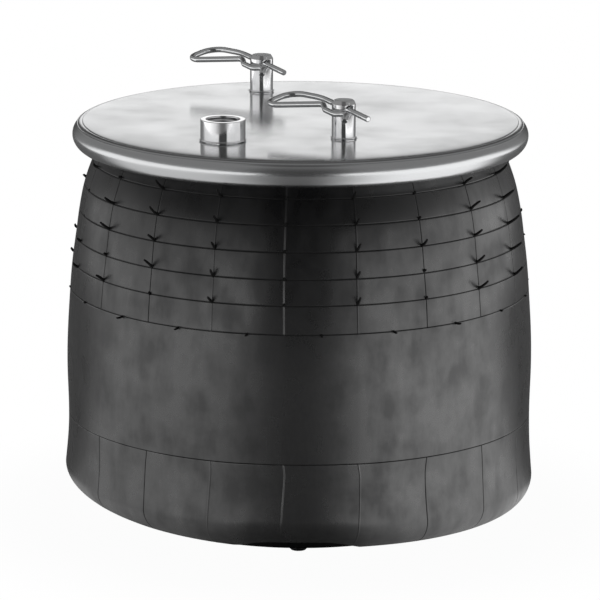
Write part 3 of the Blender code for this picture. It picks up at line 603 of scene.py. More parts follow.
# %% Air port
PORT_RADIUS = 15.0 * MM
PORT_COUNTERSINK = 11.6 * MM
THREAD_ROOT = 11.0 * MM
THREAD_CREST = 10.2 * MM
THREAD_PITCH = 1.5 * MM
THREAD_START = 0.9 * MM       # depth of the countersink, where the thread begins
THREAD_STEPS = 48             # points in one turn
THREAD_RUN_OUT = 12           # steps over which the ridge fades at each end
RIDGE_HALF = 0.45             # share of the pitch
RIDGE_LEAST = 0.05            # share of the ridge's height that is left at its ends
RIDGE_SUNK = 0.1 * MM
SWAGE_RADIUS = 14.4 * MM
SWAGE_THICKNESS = 2.0 * MM
RIM_ROUND = 0.5 * MM

port_tip = extent("air_inlet_boss")[3] - PLATE_TOP
outline = foot_outline(THREAD_ROOT, SWAGE_RADIUS, SWAGE_THICKNESS, PORT_SPIGOT, PORT_RADIUS)
outline += arc((PORT_RADIUS - RIM_ROUND, port_tip - RIM_ROUND), (RIM_ROUND, RIM_ROUND), 0.0, 90.0, 4)
outline += [(PORT_COUNTERSINK, port_tip), (THREAD_ROOT, port_tip - THREAD_START)]
port = turned("port_bush", outline, 96, weld_wander)
drilled(port, [])
port.location = (port_at[0], port_at[1], PLATE_TOP)
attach(port, "plate_body")
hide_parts("air_inlet_boss")


def thread_ridge(name, low, high):
    """Sweep a triangular ridge along a helix on the bore's wall."""
    work = bmesh.new()
    steps = int((high - low) / THREAD_PITCH * THREAD_STEPS)
    half = RIDGE_HALF * THREAD_PITCH
    sunk = THREAD_ROOT + RIDGE_SUNK
    sections = []
    for step in range(steps + 1):
        angle = math.tau * step / THREAD_STEPS
        level = low + THREAD_PITCH * step / THREAD_STEPS
        fade = min(1.0, step / THREAD_RUN_OUT, (steps - step) / THREAD_RUN_OUT)
        reach = THREAD_ROOT - (THREAD_ROOT - THREAD_CREST) * max(fade, RIDGE_LEAST)
        corners = ((sunk, level - half), (reach, level), (sunk, level + half))
        ring = [work.verts.new((r * math.cos(angle), r * math.sin(angle), z)) for r, z in corners]
        sections.append(ring)
    for first, last in zip(sections, sections[1:]):
        for i in range(3):
            j = (i + 1) % 3
            work.faces.new((first[i], first[j], last[j], last[i]))
    work.faces.new(sections[0])
    work.faces.new(list(reversed(sections[-1])))
    return finished(name, work, 20.0)


thread_foot = UNDER_PLATE - SWAGE_THICKNESS + THREAD_PITCH
thread = thread_ridge("port_thread", thread_foot, port_tip - THREAD_START - THREAD_PITCH / 2)
thread.location = port.location
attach(thread, "plate_body")
print("port thread: %d faces" % len(thread.data.polygons))

# %% [markdown]
# ## R-clips
#
# An R-clip is one piece of 4 mm spring wire. Its straight leg runs through the post, and its outer leg is
# bent round a hump that snaps over the post. A wire is best made as a curve with a round bevel: the corners
# of its route are listed, and a function rounds each one to its bending radius. The wire's ends are cut and
# tumbled, so its radius shrinks over the last half millimetre.

# %% R-clips
WIRE_RADIUS = 2.0 * MM
CLIP_CORNERS = (
    (32.0, 0.0),
    (-28.0, 0.0),
    (-54.0, -8.5),
    (-47.5, -37.0),
    (-17.0, -6.0),
    (-6.2, -10.7),
    (6.2, -10.7),
    (11.5, -4.8),
    (23.0, -13.0),
)
CLIP_BENDS = (45.0, 13.0, 6.5, 4.5, 4.5, 4.5, 4.5)
CLIP_DIP_ANGLE = math.radians(4.5)
CLIP_ROLL = math.radians(10.0)
CUT_CHAMFER = 0.5 * MM
CUT_SHARE = 0.72              # share of the wire's radius that is left at its cut ends
BEND_STEPS = 14


def rounded_route(corners, bends, steps):
    """Return points along a line through the corners, each corner bent to its radius."""
    points = [Vector(corners[0])]
    for i in range(1, len(corners) - 1):
        corner = Vector(corners[i])
        back = (Vector(corners[i - 1]) - corner).normalized()
        ahead = (Vector(corners[i + 1]) - corner).normalized()
        half = back.angle(ahead) / 2
        bend = bends[i - 1]
        centre = corner + (back + ahead).normalized() * (bend / math.sin(half))
        first = (corner + back * (bend / math.tan(half)) - centre).normalized()
        last = (corner + ahead * (bend / math.tan(half)) - centre).normalized()
        for step in range(steps + 1):
            points.append(centre + first.slerp(last, step / steps) * bend)
    points.append(Vector(corners[-1]))
    return points


def make_clip(name, node, body, at, tip_level):
    """Build one clip in its own frame and hang it in its post."""
    corners = [(x * MM, y * MM, 0.0) for x, y in CLIP_CORNERS]
    route = rounded_route(corners, [bend * MM for bend in CLIP_BENDS], BEND_STEPS)
    route.insert(1, route[0] + (route[1] - route[0]).normalized() * CUT_CHAMFER)
    route.insert(-1, route[-1] + (route[-2] - route[-1]).normalized() * CUT_CHAMFER)
    wire = bpy.data.curves.new(name, "CURVE")
    wire.dimensions = "3D"
    wire.bevel_depth = WIRE_RADIUS
    wire.bevel_resolution = 6
    wire.use_fill_caps = True
    spline = wire.splines.new("POLY")
    spline.points.add(len(route) - 1)
    for target, point in zip(spline.points, route):
        target.co = (*point, 1.0)
    spline.points[0].radius = CUT_SHARE
    spline.points[len(route) - 1].radius = CUT_SHARE
    spline.use_smooth = True
    guide = bpy.data.objects.new(name + "_guide", wire)
    clip = bpy.data.objects.new(name, bpy.data.meshes.new_from_object(guide))
    bpy.data.objects.remove(guide)
    bpy.context.scene.collection.objects.link(clip)
    clip.location = (at[0], at[1], tip_level - POST_HOLE_DROP)
    clip.rotation_euler = Euler((CLIP_ROLL, CLIP_DIP_ANGLE, CLIP_HEADING))
    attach(clip, body)
    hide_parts(node)
    return clip


post_tip = extent("front_post")[3]
clips = [make_clip("front_spring_clip", "front_clip", "front_clip_body", front_post_at, post_tip)]
clips.append(make_clip("rear_spring_clip", "rear_clip", "rear_clip_body", rear_post_at, post_tip))
print("clips: %d faces each" % len(clips[0].data.polygons))

# %% [markdown]
# ## Sleeve outline
#
# The sleeve's side was measured at its mould rings. A smooth curve through those stations gives the barrel,
# and an ellipse gives the lobe that rolls under and up the piston. The rubber is 6.5 mm thick, so the air
# side is the same line moved inwards.

# %% Sleeve outline
SLEEVE_THICKNESS = 6.5 * MM
SIDE_STATIONS = (             # radius and drop below the plate's top, in mm
    (137.0, 18.7),
    (141.2, 27.2),
    (146.9, 43.6),
    (150.4, 60.7),
    (152.8, 78.4),
    (155.1, 95.5),
    (156.9, 114.4),
    (158.6, 143.0),
    (159.0, 170.0),
    (158.4, 200.0),
    (158.9, 222.0),
    (160.6, 242.0),
)
RING_DROPS = (27.2, 43.6, 60.7, 78.4, 95.5, 114.4)
LOWER_RING_DROP = 202.0
LOBE_DEPTH = 20.0 * MM
SHOULDER_RADIUS = 14.0 * MM
DECK_TOP = 160.8 * MM
FACE_STEP = 2.6 * MM          # distance between the points of the side
WRAP_LENGTH = 60.0 * MM       # straight part on the piston, below its shoulder


def smooth_through(stations, spacing):
    """Return points of a Catmull-Rom curve through the stations, about one spacing apart."""
    ends = [stations[0]] + list(stations) + [stations[-1]]
    points = []
    for i in range(1, len(ends) - 2):
        before, start, end, after = (Vector(ends[k]) for k in (i - 1, i, i + 1, i + 2))
        steps = max(1, round((end - start).length / spacing))
        for step in range(steps):
            t = step / steps
            point = start * (2 * t**3 - 3 * t**2 + 1) + (end - before) * 0.5 * (t**3 - 2 * t**2 + t)
            point = point + end * (3 * t**2 - 2 * t**3) + (after - start) * 0.5 * (t**3 - t**2)
            points.append(point)
    points.append(Vector(stations[-1]))
    return points


def sleeve_face():
    """Return the outer face from the roll down the side, round the lobe and up the piston."""
    stations = [(radius * MM, PLATE_TOP - drop * MM) for radius, drop in SIDE_STATIONS]
    lobe_level = LOBE_BOTTOM + LOBE_DEPTH
    inner = PISTON_RADIUS + GAP
    widest = stations[-1][0]
    centre = ((widest + inner) / 2, lobe_level)
    path = smooth_through(stations[:-1] + [(widest, lobe_level)], FACE_STEP)[:-1]
    path += [Vector(point) for point in arc(centre, ((widest - inner) / 2, LOBE_DEPTH), 0.0, -180.0, 30)]
    shoulder = (PISTON_RADIUS - SHOULDER_RADIUS, DECK_TOP - SHOULDER_RADIUS)
    bend = SHOULDER_RADIUS + GAP
    path += [Vector((inner, shoulder[1] - WRAP_LENGTH))]
    path += [Vector(point) for point in arc(shoulder, (bend, bend), 0.0, 90.0, 6)]
    return path


face_path = sleeve_face()
print("sleeve face: %d points" % len(face_path))

# %% [markdown]
# ## Mould lines
#
# The sleeve is cured in a segmented mould. Each joint between two segments leaves a fine line: six rings near
# the top, one above the lobe, and twenty upright lines. In front the upright lines are ribs of flash, and
# elsewhere fine grooves. A bump map would vanish at the outline, so the lines are in the mesh: rows and
# columns are set close together just where a line runs.

# %% Rows and columns of the sleeve
LINE_COUNT = 20
LINE_START = math.radians(-3.68)
LINE_HALF = 0.50 * MM
LINE_EDGE = 1.8               # half widths out to a plain row, which keeps the shading beside a line flat
LINE_PROFILE = (              # place across a line in half widths, and share of its depth
    (-LINE_EDGE, 0.0),
    (-1.0, 0.0),
    (-0.5, 0.6),
    (0.0, 1.0),
    (0.5, 0.6),
    (1.0, 0.0),
    (LINE_EDGE, 0.0),
)
RING_DEPTH = 0.26 * MM
PLAIN_COLUMNS = 7
ROW_CLEARANCE = 1.3           # line edges between a ring and the next plain row


def row_levels(path, marked_drops):
    """Return (radius, height, ring share, distance along the face) rows, with close rows at each ring."""
    lengths = [0.0]
    for first, last in zip(path, path[1:]):
        lengths.append(lengths[-1] + (last - first).length)
    marks = []
    for drop in marked_drops:
        for i in range(len(path) - 1):
            upper, lower = PLATE_TOP - path[i].y, PLATE_TOP - path[i + 1].y
            if upper <= drop * MM < lower:
                share = (drop * MM - upper) / (lower - upper)
                marks.append(lengths[i] + share * (lengths[i + 1] - lengths[i]))
                break
    spots = {}
    for mark in marks:
        for offset, share in LINE_PROFILE:
            spots[mark + offset * LINE_HALF] = share
    for length in lengths:
        if all(abs(length - mark) > ROW_CLEARANCE * LINE_EDGE * LINE_HALF for mark in marks):
            spots[length] = 0.0
    rows = []
    for length in sorted(spots):
        i = max(k for k in range(len(lengths)) if lengths[k] <= length + 1e-9)
        i = min(i, len(path) - 2)
        share = (length - lengths[i]) / (lengths[i + 1] - lengths[i])
        point = path[i].lerp(path[i + 1], share)
        rows.append((point.x, point.y, spots[length], length))
    return rows, marks


rows, ring_marks = row_levels(face_path, RING_DROPS + (LOWER_RING_DROP,))


def column_angles():
    """Return (angle, nearest line, line share) columns all round, with close columns at each line."""
    columns = []
    pitch = math.tau / LINE_COUNT
    for line in range(LINE_COUNT):
        centre = LINE_START + line * pitch
        for offset, share in LINE_PROFILE:
            columns.append((centre + offset * LINE_HALF / LOBE_RADIUS, line, share))
        edge = LINE_EDGE * LINE_HALF / LOBE_RADIUS
        for step in range(1, PLAIN_COLUMNS + 1):
            angle = centre + edge + (pitch - 2 * edge) * step / (PLAIN_COLUMNS + 1)
            columns.append((angle, line, 0.0))
    return columns


columns = column_angles()
print("sleeve grid: %d rows by %d columns" % (len(rows), len(columns)))

# %% [markdown]
# ## Sleeve mesh
#
# The grid of rows and columns is bent into the sleeve. A folded rubber sleeve is never quite regular: its
# lines wander, its wall swells a little here and there, and its lobe hangs higher on the left and is drawn up
# in front, where the foot disc shows. Each point also keeps two shares of painted shade for the rubber: how
# deep it lies in a groove, and how much of the rim's painted shade falls there.

# %% Sleeve mesh
LINE_HEIGHTS = {0: 0.26, 1: 0.16, 19: 0.16}   # mm; the lines near the front stand proud
GROOVE_HEIGHT = -0.22
LOWER_LINE_LENGTH = 75.0 * MM  # how far an upright line goes on below the lower ring
WAVE_UPPER = 0.35 * MM
WAVE_LOWER = 1.3 * MM
WAVE_LENGTH = 22.0 * MM
WAVE_START = 8.0 * MM         # over this distance a line starts to wander
SWELL = 0.35 * MM
SWELL_CELLS = 3.0             # swellings along one radius
SWELL_LENGTH = 45.0 * MM
LEFT_RISE = 6.5 * MM          # the lobe hangs higher on the left
RIGHT_DROP = 3.2 * MM
FRONT_ARCH = 4.0 * MM         # the lobe is drawn up in front, where the foot disc shows
ARCH_WIDTH = 0.27             # sine of the angle from the front, where that ends
LEAN_TOP = 80.0 * MM          # the lobe leans below this level
LEAN_DEPTH = 60.0 * MM
LEAN_START = 2.0 * MM         # distance from the piston
LEAN_WIDTH = 20.0 * MM
ROLL_COVER = 1.0 * MM         # no swelling this close to the roll's lower edge
PISTON_COVER = 6.0 * MM       # nor this close to the piston
BULGE_ROOM = 0.9 * MM         # how far the sleeve may pass the frame's outside
SAG_ROOM = 0.5 * MM           # and its lowest level
# Painted shade under the rim: the sleeve's reflection is darkened most just under the rim and less at the
# right
RIM_SHADE_REACH = 125.0 * MM       # how far the painted shade of the rim reaches down from the first ring line
RIM_SHADE_TURN = (12.0, 57.0)      # degrees from the front, over which that painted shade weakens at the right
RIM_SHADE_LOSS = 0.8
dice = random.Random(7)
wave_phases = [dice.uniform(0.0, math.tau) for line in range(LINE_COUNT)]


def place_angle(angle):
    """Turn an angle from the front into the direction of X and Y."""
    return math.sin(angle), -math.cos(angle)


def bounded(value):
    """Return a share that stays between none and all."""
    return min(1.0, max(0.0, value))


def line_height(line, along):
    """Return how far an upright mould line stands out at a distance along the face."""
    if ring_marks[5] < along < ring_marks[6] or along > ring_marks[6] + LOWER_LINE_LENGTH:
        return 0.0
    return LINE_HEIGHTS.get(line, GROOVE_HEIGHT) * MM


def line_wave(line, along):
    """Return how far an upright mould line wanders sideways."""
    size = WAVE_UPPER if along < ring_marks[6] else WAVE_LOWER
    start = ring_marks[6] if along >= ring_marks[6] else 0.0
    swing = math.sin(wave_phases[line] + (along - start) / WAVE_LENGTH)
    return size * swing * min(1.0, (along - start) / WAVE_START)


def painted_rim_shade(along, angle):
    """Return the share of painted shade under the rim: it is strongest just under the rim and weak at the
    right.
    """
    downwards = bounded(1.0 - (along - ring_marks[0]) / RIM_SHADE_REACH)
    turn = (math.degrees(angle) + 180.0) % 360.0 - 180.0
    aside = bounded((turn - RIM_SHADE_TURN[0]) / (RIM_SHADE_TURN[1] - RIM_SHADE_TURN[0]))
    return downwards * (1.0 - RIM_SHADE_LOSS * aside)


def face_point(row, column):
    """Return a point of the outer face and how deep it lies in a mould line."""
    radius, height, ring_share, along = row
    angle, line, line_share = column
    pitch = math.tau / LINE_COUNT
    share = (angle - LINE_START) / pitch - line
    wave = (1 - share) * line_wave(line, along) + share * line_wave((line + 1) % LINE_COUNT, along)
    x, y = place_angle(angle + wave / LOBE_RADIUS)
    out = line_share * line_height(line, along) - ring_share * RING_DEPTH * (1.0 - 0.5 * line_share)
    hidden = height > ROLL_BOTTOM - ROLL_COVER or radius < PISTON_RADIUS + PISTON_COVER
    cell = Vector((x * SWELL_CELLS, y * SWELL_CELLS, height / SWELL_LENGTH))
    swell = 0.0 if hidden else SWELL * noise.noise(cell)
    low_part = bounded((LEAN_TOP - height) / LEAN_DEPTH)
    outer = bounded((radius - PISTON_RADIUS - LEAN_START) / LEAN_WIDTH)
    lean = LEFT_RISE if x < 0.0 else RIGHT_DROP
    arch = FRONT_ARCH * max(0.0, 1.0 - (x / ARCH_WIDTH) ** 4) if y < 0.0 else 0.0
    up = (arch - x * abs(x) * lean) * low_part * outer
    radius = min(radius + out + swell, LOBE_RADIUS + BULGE_ROOM)
    # Only the grooves count here, not the proud ribs: the rubber is painted darker in them as shade
    depth = max(ring_share, line_share * (1.0 if line_height(line, along) < 0.0 else 0.0))
    return (x * radius, y * radius, max(height + up, LOBE_BOTTOM - SAG_ROOM)), depth


BEAD_BORE = 72.3 * MM
BEAD_HEIGHT = 12.0 * MM
BEAD_CORNER = 2.4 * MM
WIRE_THICKNESS = 6.4 * MM     # the bead wire, with the air round it
WIRE_ROOM = 0.4 * MM
BACK_STEP = 3.0 * MM          # step of the surface map on the hidden side


def moved_left(path, distance):
    """Return the path moved to its air side, with every second point left out."""
    moved = []
    for i in range(0, len(path), 2):
        along = (path[min(i + 1, len(path) - 1)] - path[max(i - 1, 0)]).normalized()
        moved.append(Vector((path[i].x + distance * along.y, path[i].y - distance * along.x)))
    return moved


def sleeve_back():
    """Return the hidden rest of the outline, from the lower bead along the air side to the upper bead."""
    wire_radius, low = extent("lower_bead_wire")[1:3]
    bead_low = DECK_TOP + GAP
    bead_high = bead_low + BEAD_HEIGHT
    wire_inside = wire_radius - WIRE_THICKNESS
    wire_outside = wire_radius + WIRE_ROOM
    points = [(BEAD_BORE, bead_low), (BEAD_BORE, bead_high), (wire_inside, bead_high)]
    points += [(wire_inside, low - GAP), (wire_outside, low - GAP)]
    points += [(wire_outside, bead_high), (wire_outside + BEAD_CORNER, bead_high)]
    points += [tuple(point) for point in reversed(moved_left(face_path, SLEEVE_THICKNESS))]
    bead = ROLL_INSIDE - GAP
    top = ROLL_LEVEL + bead
    wire_radius, low = extent("upper_bead_wire")[1:3]
    wire_inside = wire_radius - WIRE_THICKNESS
    wire_outside = wire_radius + WIRE_ROOM
    inside = NECK_RADIUS - SLEEVE_THICKNESS
    points += [(inside, top - BEAD_CORNER), (inside + BEAD_CORNER, top), (wire_inside, top)]
    points += [(wire_inside, low - GAP), (wire_outside, low - GAP), (wire_outside, top)]
    points += arc((ROLL_RING, ROLL_LEVEL), (bead, bead), 90.0, -90.0, 8)
    points.append((NECK_RADIUS, ROLL_LEVEL - bead))
    return points


def make_sleeve():
    """Build the sleeve as one closed mesh, with its own map of metres around and metres along."""
    work = bmesh.new()
    depth_layer = work.verts.layers.float.new("line_depth")
    rim_shade_layer = work.verts.layers.float.new("painted_rim_shade")
    uv_layer = work.loops.layers.uv.new("surface")
    rings = []
    for row in rows:
        ring = []
        for column in columns:
            spot, depth = face_point(row, column)
            vert = work.verts.new(spot)
            vert[depth_layer] = depth
            # painted shade of the rim, kept on each point
            vert[rim_shade_layer] = painted_rim_shade(row[3], column[0])
            ring.append(vert)
        rings.append((ring, row[3]))
    along = rows[-1][3]
    for radius, height in sleeve_back():
        ring = []
        for column in columns:
            x, y = place_angle(column[0])
            ring.append(work.verts.new((x * radius, y * radius, height)))
        along += BACK_STEP
        rings.append((ring, along))
    count = len(columns)
    for k, (ring, level) in enumerate(rings):
        before, upper = rings[k - 1]
        for i in range(count):
            j = (i + 1) % count
            quad = work.faces.new((before[i], ring[i], ring[j], before[j]))
            left = columns[i][0] * LOBE_RADIUS
            right = (columns[j][0] + (math.tau if j == 0 else 0.0)) * LOBE_RADIUS
            places = ((left, upper), (left, level), (right, level), (right, upper))
            for loop, place in zip(quad.loops, places):
                loop[uv_layer].uv = place
    return finished("rubber_sleeve", work, 60.0)


sleeve = make_sleeve()
print("rubber_sleeve: %d faces" % len(sleeve.data.polygons))

# %% [markdown]
# ## Vent whiskers
#
# Rubber runs into the mould's air vents and stays on the sleeve as short black whiskers. They stand at the
# crossings of the mould lines and point out and up, and short ticks stand level between the crossings of the
# sixth ring. Each is a tapered rod of eight sides with a slight bend. They are cut at different lengths, so a
# seeded random generator varies them the same way each run.

# %% Vent whiskers
WHISKER_OUT = 8.4 * MM
WHISKER_UP = 6.9 * MM
WHISKER_RADIUS = 1.0 * MM
WHISKER_SIDES = 8
TICK_OUT = 5.5 * MM
TICK_RADIUS = 0.8 * MM
TRIMMED_LINES = {0: 0.3, 5: 0.2, 6: 0.2, 14: 0.2, 15: 0.35, 16: 0.5}   # share left of their whiskers
STUB_CHANCE = 0.12            # share of the whiskers that are torn off short
STUB_SHARE = 0.3
SIDE_TICKS = 0.86             # beyond this sine of the angle from the front the ticks are short
SIDE_TICK_SHARE = 0.4
ROD_WIDTHS = ((0.0, 1.5), (0.12, 1.05), (0.4, 0.95), (0.75, 0.85), (0.96, 0.7), (1.0, 0.35))
ROOT_DEPTH = 1.0 * MM
SIZES = (0.8, 1.1)            # shares between which the lengths vary
LIFTS = (0.75, 1.15)
TURNS = (-0.12, 0.12)         # how far a whisker points sideways
BENDS = (-0.6, 0.9)           # mm
TICK_LIFTS = (-1.0, 0.6)      # mm
TICK_BEND = 0.5 * MM
dice = random.Random(23)


def add_rod(work, root, tip, bend, radius):
    """Add a tapered, slightly bent rod."""
    axis = (tip - root).normalized()
    side = axis.cross(Vector((0.0, 0.0, 1.0))).normalized()
    other = axis.cross(side)
    rings = []
    for share, width in ROD_WIDTHS:
        centre = root.lerp(tip, share) + other * (bend * math.sin(math.pi * share))
        ring = []
        for i in range(WHISKER_SIDES):
            angle = math.tau * i / WHISKER_SIDES
            spot = centre + (side * math.cos(angle) + other * math.sin(angle)) * radius * width
            ring.append(work.verts.new(spot))
        rings.append(ring)
    for first, last in zip(rings, rings[1:]):
        for i in range(WHISKER_SIDES):
            j = (i + 1) % WHISKER_SIDES
            work.faces.new((first[i], first[j], last[j], last[i]))
    work.faces.new(rings[0])
    work.faces.new(list(reversed(rings[-1])))


def row_at(mark):
    """Return the row of the sleeve's face that is nearest to a distance along it."""
    return min(rows, key=lambda row: abs(row[3] - mark))


def make_whiskers():
    """Put a whisker on each crossing near the top, and short ticks along the sixth ring."""
    work = bmesh.new()
    pitch = math.tau / LINE_COUNT
    for mark in ring_marks[:5]:
        row = row_at(mark)
        for line in range(LINE_COUNT):
            x, y = place_angle(LINE_START + line * pitch + line_wave(line, row[3]) / LOBE_RADIUS)
            size = dice.uniform(*SIZES)
            lift = dice.uniform(*LIFTS)
            size *= TRIMMED_LINES.get(line, 1.0)
            if dice.random() < STUB_CHANCE:
                size *= STUB_SHARE
            turn = dice.uniform(*TURNS)
            out = Vector((x, y, 0.0))
            aside = Vector((-y, x, 0.0))
            root = out * (row[0] - ROOT_DEPTH) + Vector((0.0, 0.0, row[1]))
            reach = (out + aside * turn) * WHISKER_OUT * size
            tip = root + reach + Vector((0.0, 0.0, WHISKER_UP * lift * size))
            add_rod(work, root, tip, dice.uniform(*BENDS) * MM, WHISKER_RADIUS)
    row = row_at(ring_marks[5])
    for line in range(LINE_COUNT):
        x, y = place_angle(LINE_START + (line + 0.5) * pitch)
        out = Vector((x, y, 0.0))
        root = out * (row[0] - ROOT_DEPTH) + Vector((0.0, 0.0, row[1]))
        size = dice.uniform(*SIZES) * (SIDE_TICK_SHARE if abs(x) > SIDE_TICKS else 1.0)
        tip = root + out * TICK_OUT * size + Vector((0.0, 0.0, dice.uniform(*TICK_LIFTS) * MM))
        add_rod(work, root, tip, TICK_BEND, TICK_RADIUS)
    return finished("vent_whiskers", work, 50.0)


whiskers = make_whiskers()
for piece in (sleeve, whiskers):
    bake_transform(piece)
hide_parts("bellows")
print("vent_whiskers: %d faces" % len(whiskers.data.polygons))

# %% [markdown]
# ## Foot disc and buffer
#
# The steel disc under the piston shows below the lobe, so it gets a finer edge than the frame's. The rubber
# buffer inside only shows when the plate is lifted off, but it is soft, so its folds are rounded.

# %% Foot disc and buffer
BASE_HOLE = 22.0 * MM
BASE_EDGE = 0.8 * MM
BOLT_HOLE_RADIUS = 4.5 * MM

outline = [(BASE_HOLE, BASE_BOTTOM + EDGE_ROUND), (BASE_HOLE + EDGE_ROUND, BASE_BOTTOM)]
outline += arc((BASE_RADIUS - BASE_EDGE, BASE_BOTTOM + BASE_EDGE), (BASE_EDGE, BASE_EDGE), -90.0, 0.0, 4)
outline += arc((BASE_RADIUS - BASE_EDGE, BASE_TOP - BASE_EDGE), (BASE_EDGE, BASE_EDGE), 0.0, 90.0, 4)
outline += [(BASE_HOLE + EDGE_ROUND, BASE_TOP), (BASE_HOLE, BASE_TOP - EDGE_ROUND)]
disc = turned("foot_disc", outline, 160)
holes = []
for number in (1, 2, 3, 4):
    at = post_place("base_bolt_%d" % number)
    holes.append(peg(BOLT_HOLE_RADIUS, BASE_BOTTOM - GAP, BASE_TOP + GAP, at, 32))
drilled(disc, holes)
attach(disc, "piston_body")
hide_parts("base_plate")

BUFFER_FOOT, BUFFER_LOW, BUFFER_HIGH = extent("bump_stop")[1:]
BUFFER_TOP_RADIUS = 30.0 * MM
BUFFER_BORE = 15.0 * MM
BUFFER_ROUND = 5.0 * MM
BUFFER_WAIST = 2.6 * MM       # half the depth of its folds
BUFFER_WAVES = 2.5            # folds on the way up
BUFFER_STEPS = 40
side_top = BUFFER_HIGH - BUFFER_ROUND
folds = [(BUFFER_BORE, BUFFER_LOW)]
for step in range(BUFFER_STEPS + 1):
    share = step / BUFFER_STEPS
    radius = BUFFER_FOOT + (BUFFER_TOP_RADIUS - BUFFER_FOOT) * share
    waist = BUFFER_WAIST * (1.0 - math.cos(share * BUFFER_WAVES * math.tau))
    folds.append((radius - waist * (1.0 - share) ** 0.3, BUFFER_LOW + (side_top - BUFFER_LOW) * share))
folds += arc((folds[-1][0] - BUFFER_ROUND, side_top), (BUFFER_ROUND, BUFFER_ROUND), 15.0, 90.0, 6)
folds.append((BUFFER_BORE, BUFFER_HIGH))
buffer = turned("rubber_buffer", folds, 64)
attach(buffer, "piston_body")
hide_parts("bump_stop")
print("foot disc radius %.1f mm, buffer %.1f mm high" % (BASE_RADIUS / MM, (BUFFER_HIGH - BUFFER_LOW) / MM))

# %% [markdown]
# ## Vulcanised rubber
#
# The sleeve is natural rubber, cured against a steel mould. The mould gives it a satin skin, and the release
# agent dries on it in faint upright streaks and pale clouds. Bare rubber has an IOR near 1.52; the waxy bloom
# on this skin mirrors a little more, and 1.66 matches it. The streaks change the gloss more than the colour,
# so they drive the roughness and the tint of the reflection. The grooved lines are rougher and painted darker
# as shade, and under the rim painted shade takes most of the shine away. The film's scales are those of the
# real streaks, and the pores are drawn coarse enough to show.

# %% Vulcanised rubber
STREAK_WIDTH = 17.0           # mm, release agent streaks
STREAK_LENGTH = 46.0
CLOUD_SIZE = 24.0
PORE_SIZE = 0.9
PORE_DEPTH = 0.2 * MM
RUBBER_IOR = 1.66
FILM_SPAN = (0.17, 0.36)      # thin to thick release agent
GLOSS_SPAN = (0.15, 0.40)
GLOSS_CHANGE = (-0.05, 0.10)
LINE_DULLING = 0.45           # roughness that a groove adds
# painted shade: the colour of the grooves
GROOVE_SHADE_COLOUR = "#060606"
BARE_TINT = "#ffffff"
FILM_TINT = "#cccccc"
# painted shade: the tint of the reflection in the grooves
GROOVE_SHADE_TINT = "#404040"
# painted shade: the tint of the reflection under the rim
RIM_SHADE_TINT = "#6e6e6e"


def rubber_skin(name, colour, pale, roughness, shine, use_map):
    """Return the moulded rubber. With use_map its streaks follow the sleeve's own surface map."""
    material, tree, shader = start_material(name, colour, roughness)
    source = add_node(tree, "TexCoord").outputs["UV" if use_map else "Object"]
    stretch = (STREAK_LENGTH / STREAK_WIDTH, 1.0, 1.0) if use_map else (1.0, 1.0, 1.0)
    mapping = add_node(tree, "Mapping", {"Vector": source, "Scale": stretch})
    streaks = add_node(tree, "TexNoise", cells(mapping, STREAK_LENGTH, 4.0, 0.6))
    clouds = add_node(tree, "TexNoise", cells(source, CLOUD_SIZE, 5.0))
    pores = add_node(tree, "TexNoise", cells(source, PORE_SIZE, 2.0))
    film = add_node(tree, "Math", {0: streaks, 1: clouds}, operation="MULTIPLY")
    pale_share = add_node(tree, "MapRange", between(film, FILM_SPAN))
    line = add_node(tree, "Attribute", attribute_name="line_depth").outputs["Fac"]
    rim_shade = add_node(tree, "Attribute", attribute_name="painted_rim_shade").outputs["Fac"]

    # Base colour: paler in the streaks, with painted shade in the grooves
    tone = linear(colour)
    for share, end in ((pale_share, pale), (line, GROOVE_SHADE_COLOUR)):
        tone = {0: share, 6: tone, 7: linear(end)}
        tone = add_node(tree, "Mix", tone, data_type="RGBA").outputs[2]
    # Reflection tint: paler in the streaks, with painted shade in the grooves and painted shade under the rim
    tint = linear(BARE_TINT)
    for share, end in ((pale_share, FILM_TINT), (line, GROOVE_SHADE_TINT), (rim_shade, RIM_SHADE_TINT)):
        tint = {0: share, 6: tint, 7: linear(end)}
        tint = add_node(tree, "Mix", tint, data_type="RGBA").outputs[2]

    smooth, matt = (roughness + change for change in GLOSS_CHANGE)
    gloss = add_node(tree, "MapRange", between(film, GLOSS_SPAN, smooth, matt))
    gloss = {0: line, 1: LINE_DULLING, 2: gloss}
    gloss = add_node(tree, "Math", gloss, operation="MULTIPLY_ADD", use_clamp=True)
    bump = add_node(tree, "Bump", {"Height": pores, "Strength": 0.10, "Distance": PORE_DEPTH})
    feed(tree, shader, {"Base Color": tone, "Roughness": gloss, "Normal": bump})
    feed(tree, shader, {"IOR": RUBBER_IOR, "Specular IOR Level": shine, "Specular Tint": tint})
    return material


# Near black, with a satin shine that comes and goes in upright streaks
sleeve_rubber = rubber_skin("vulcanised_natural_rubber", "#0d0d0e", "#1c1c1d", 0.30, 1.0, True)
# Matt black, so the whiskers read as dark strokes before the satin wall
flash_rubber = rubber_skin("rubber_flash", "#080808", "#0e0e0e", 0.70, 0.2, False)
sleeve.data.materials.append(sleeve_rubber)
whiskers.data.materials.append(flash_rubber)
buffer.data.materials.append(flash_rubber)
print("rubber skins:", sleeve_rubber.name, flash_rubber.name)

# %% [markdown]
# ## Bright plated steel
#
# The plate is zinc-plated and polished sheet, which mirrors the studio softly: real steel reflects a little
# over half of the light and zinc a little more. Rolling the rim stretches its skin, so its grain is deeper
# than the flat's. The posts and the port are turned from bar, so they carry fine rings round their axis, and
# the posts' tips are faced and look matt. The clips are drawn wire with a fine, even grain. Real grains are
# mostly finer than a pixel, so these are drawn up to a few millimetres wide to show at all.

# %% Bright plated steel
TARNISH_SIZE = 38.0           # mm, clouds in which the polish is a little better or worse
TARNISH_SPAN = (0.3, 0.7)
GRAIN_DEPTH = 0.05 * MM
RIM_START = FOLD_RADIUS + 2.0 * MM       # from here out the sheet has the rim's grain
FACED = 0.99                  # a face is part of a faced end when its normal is this upright


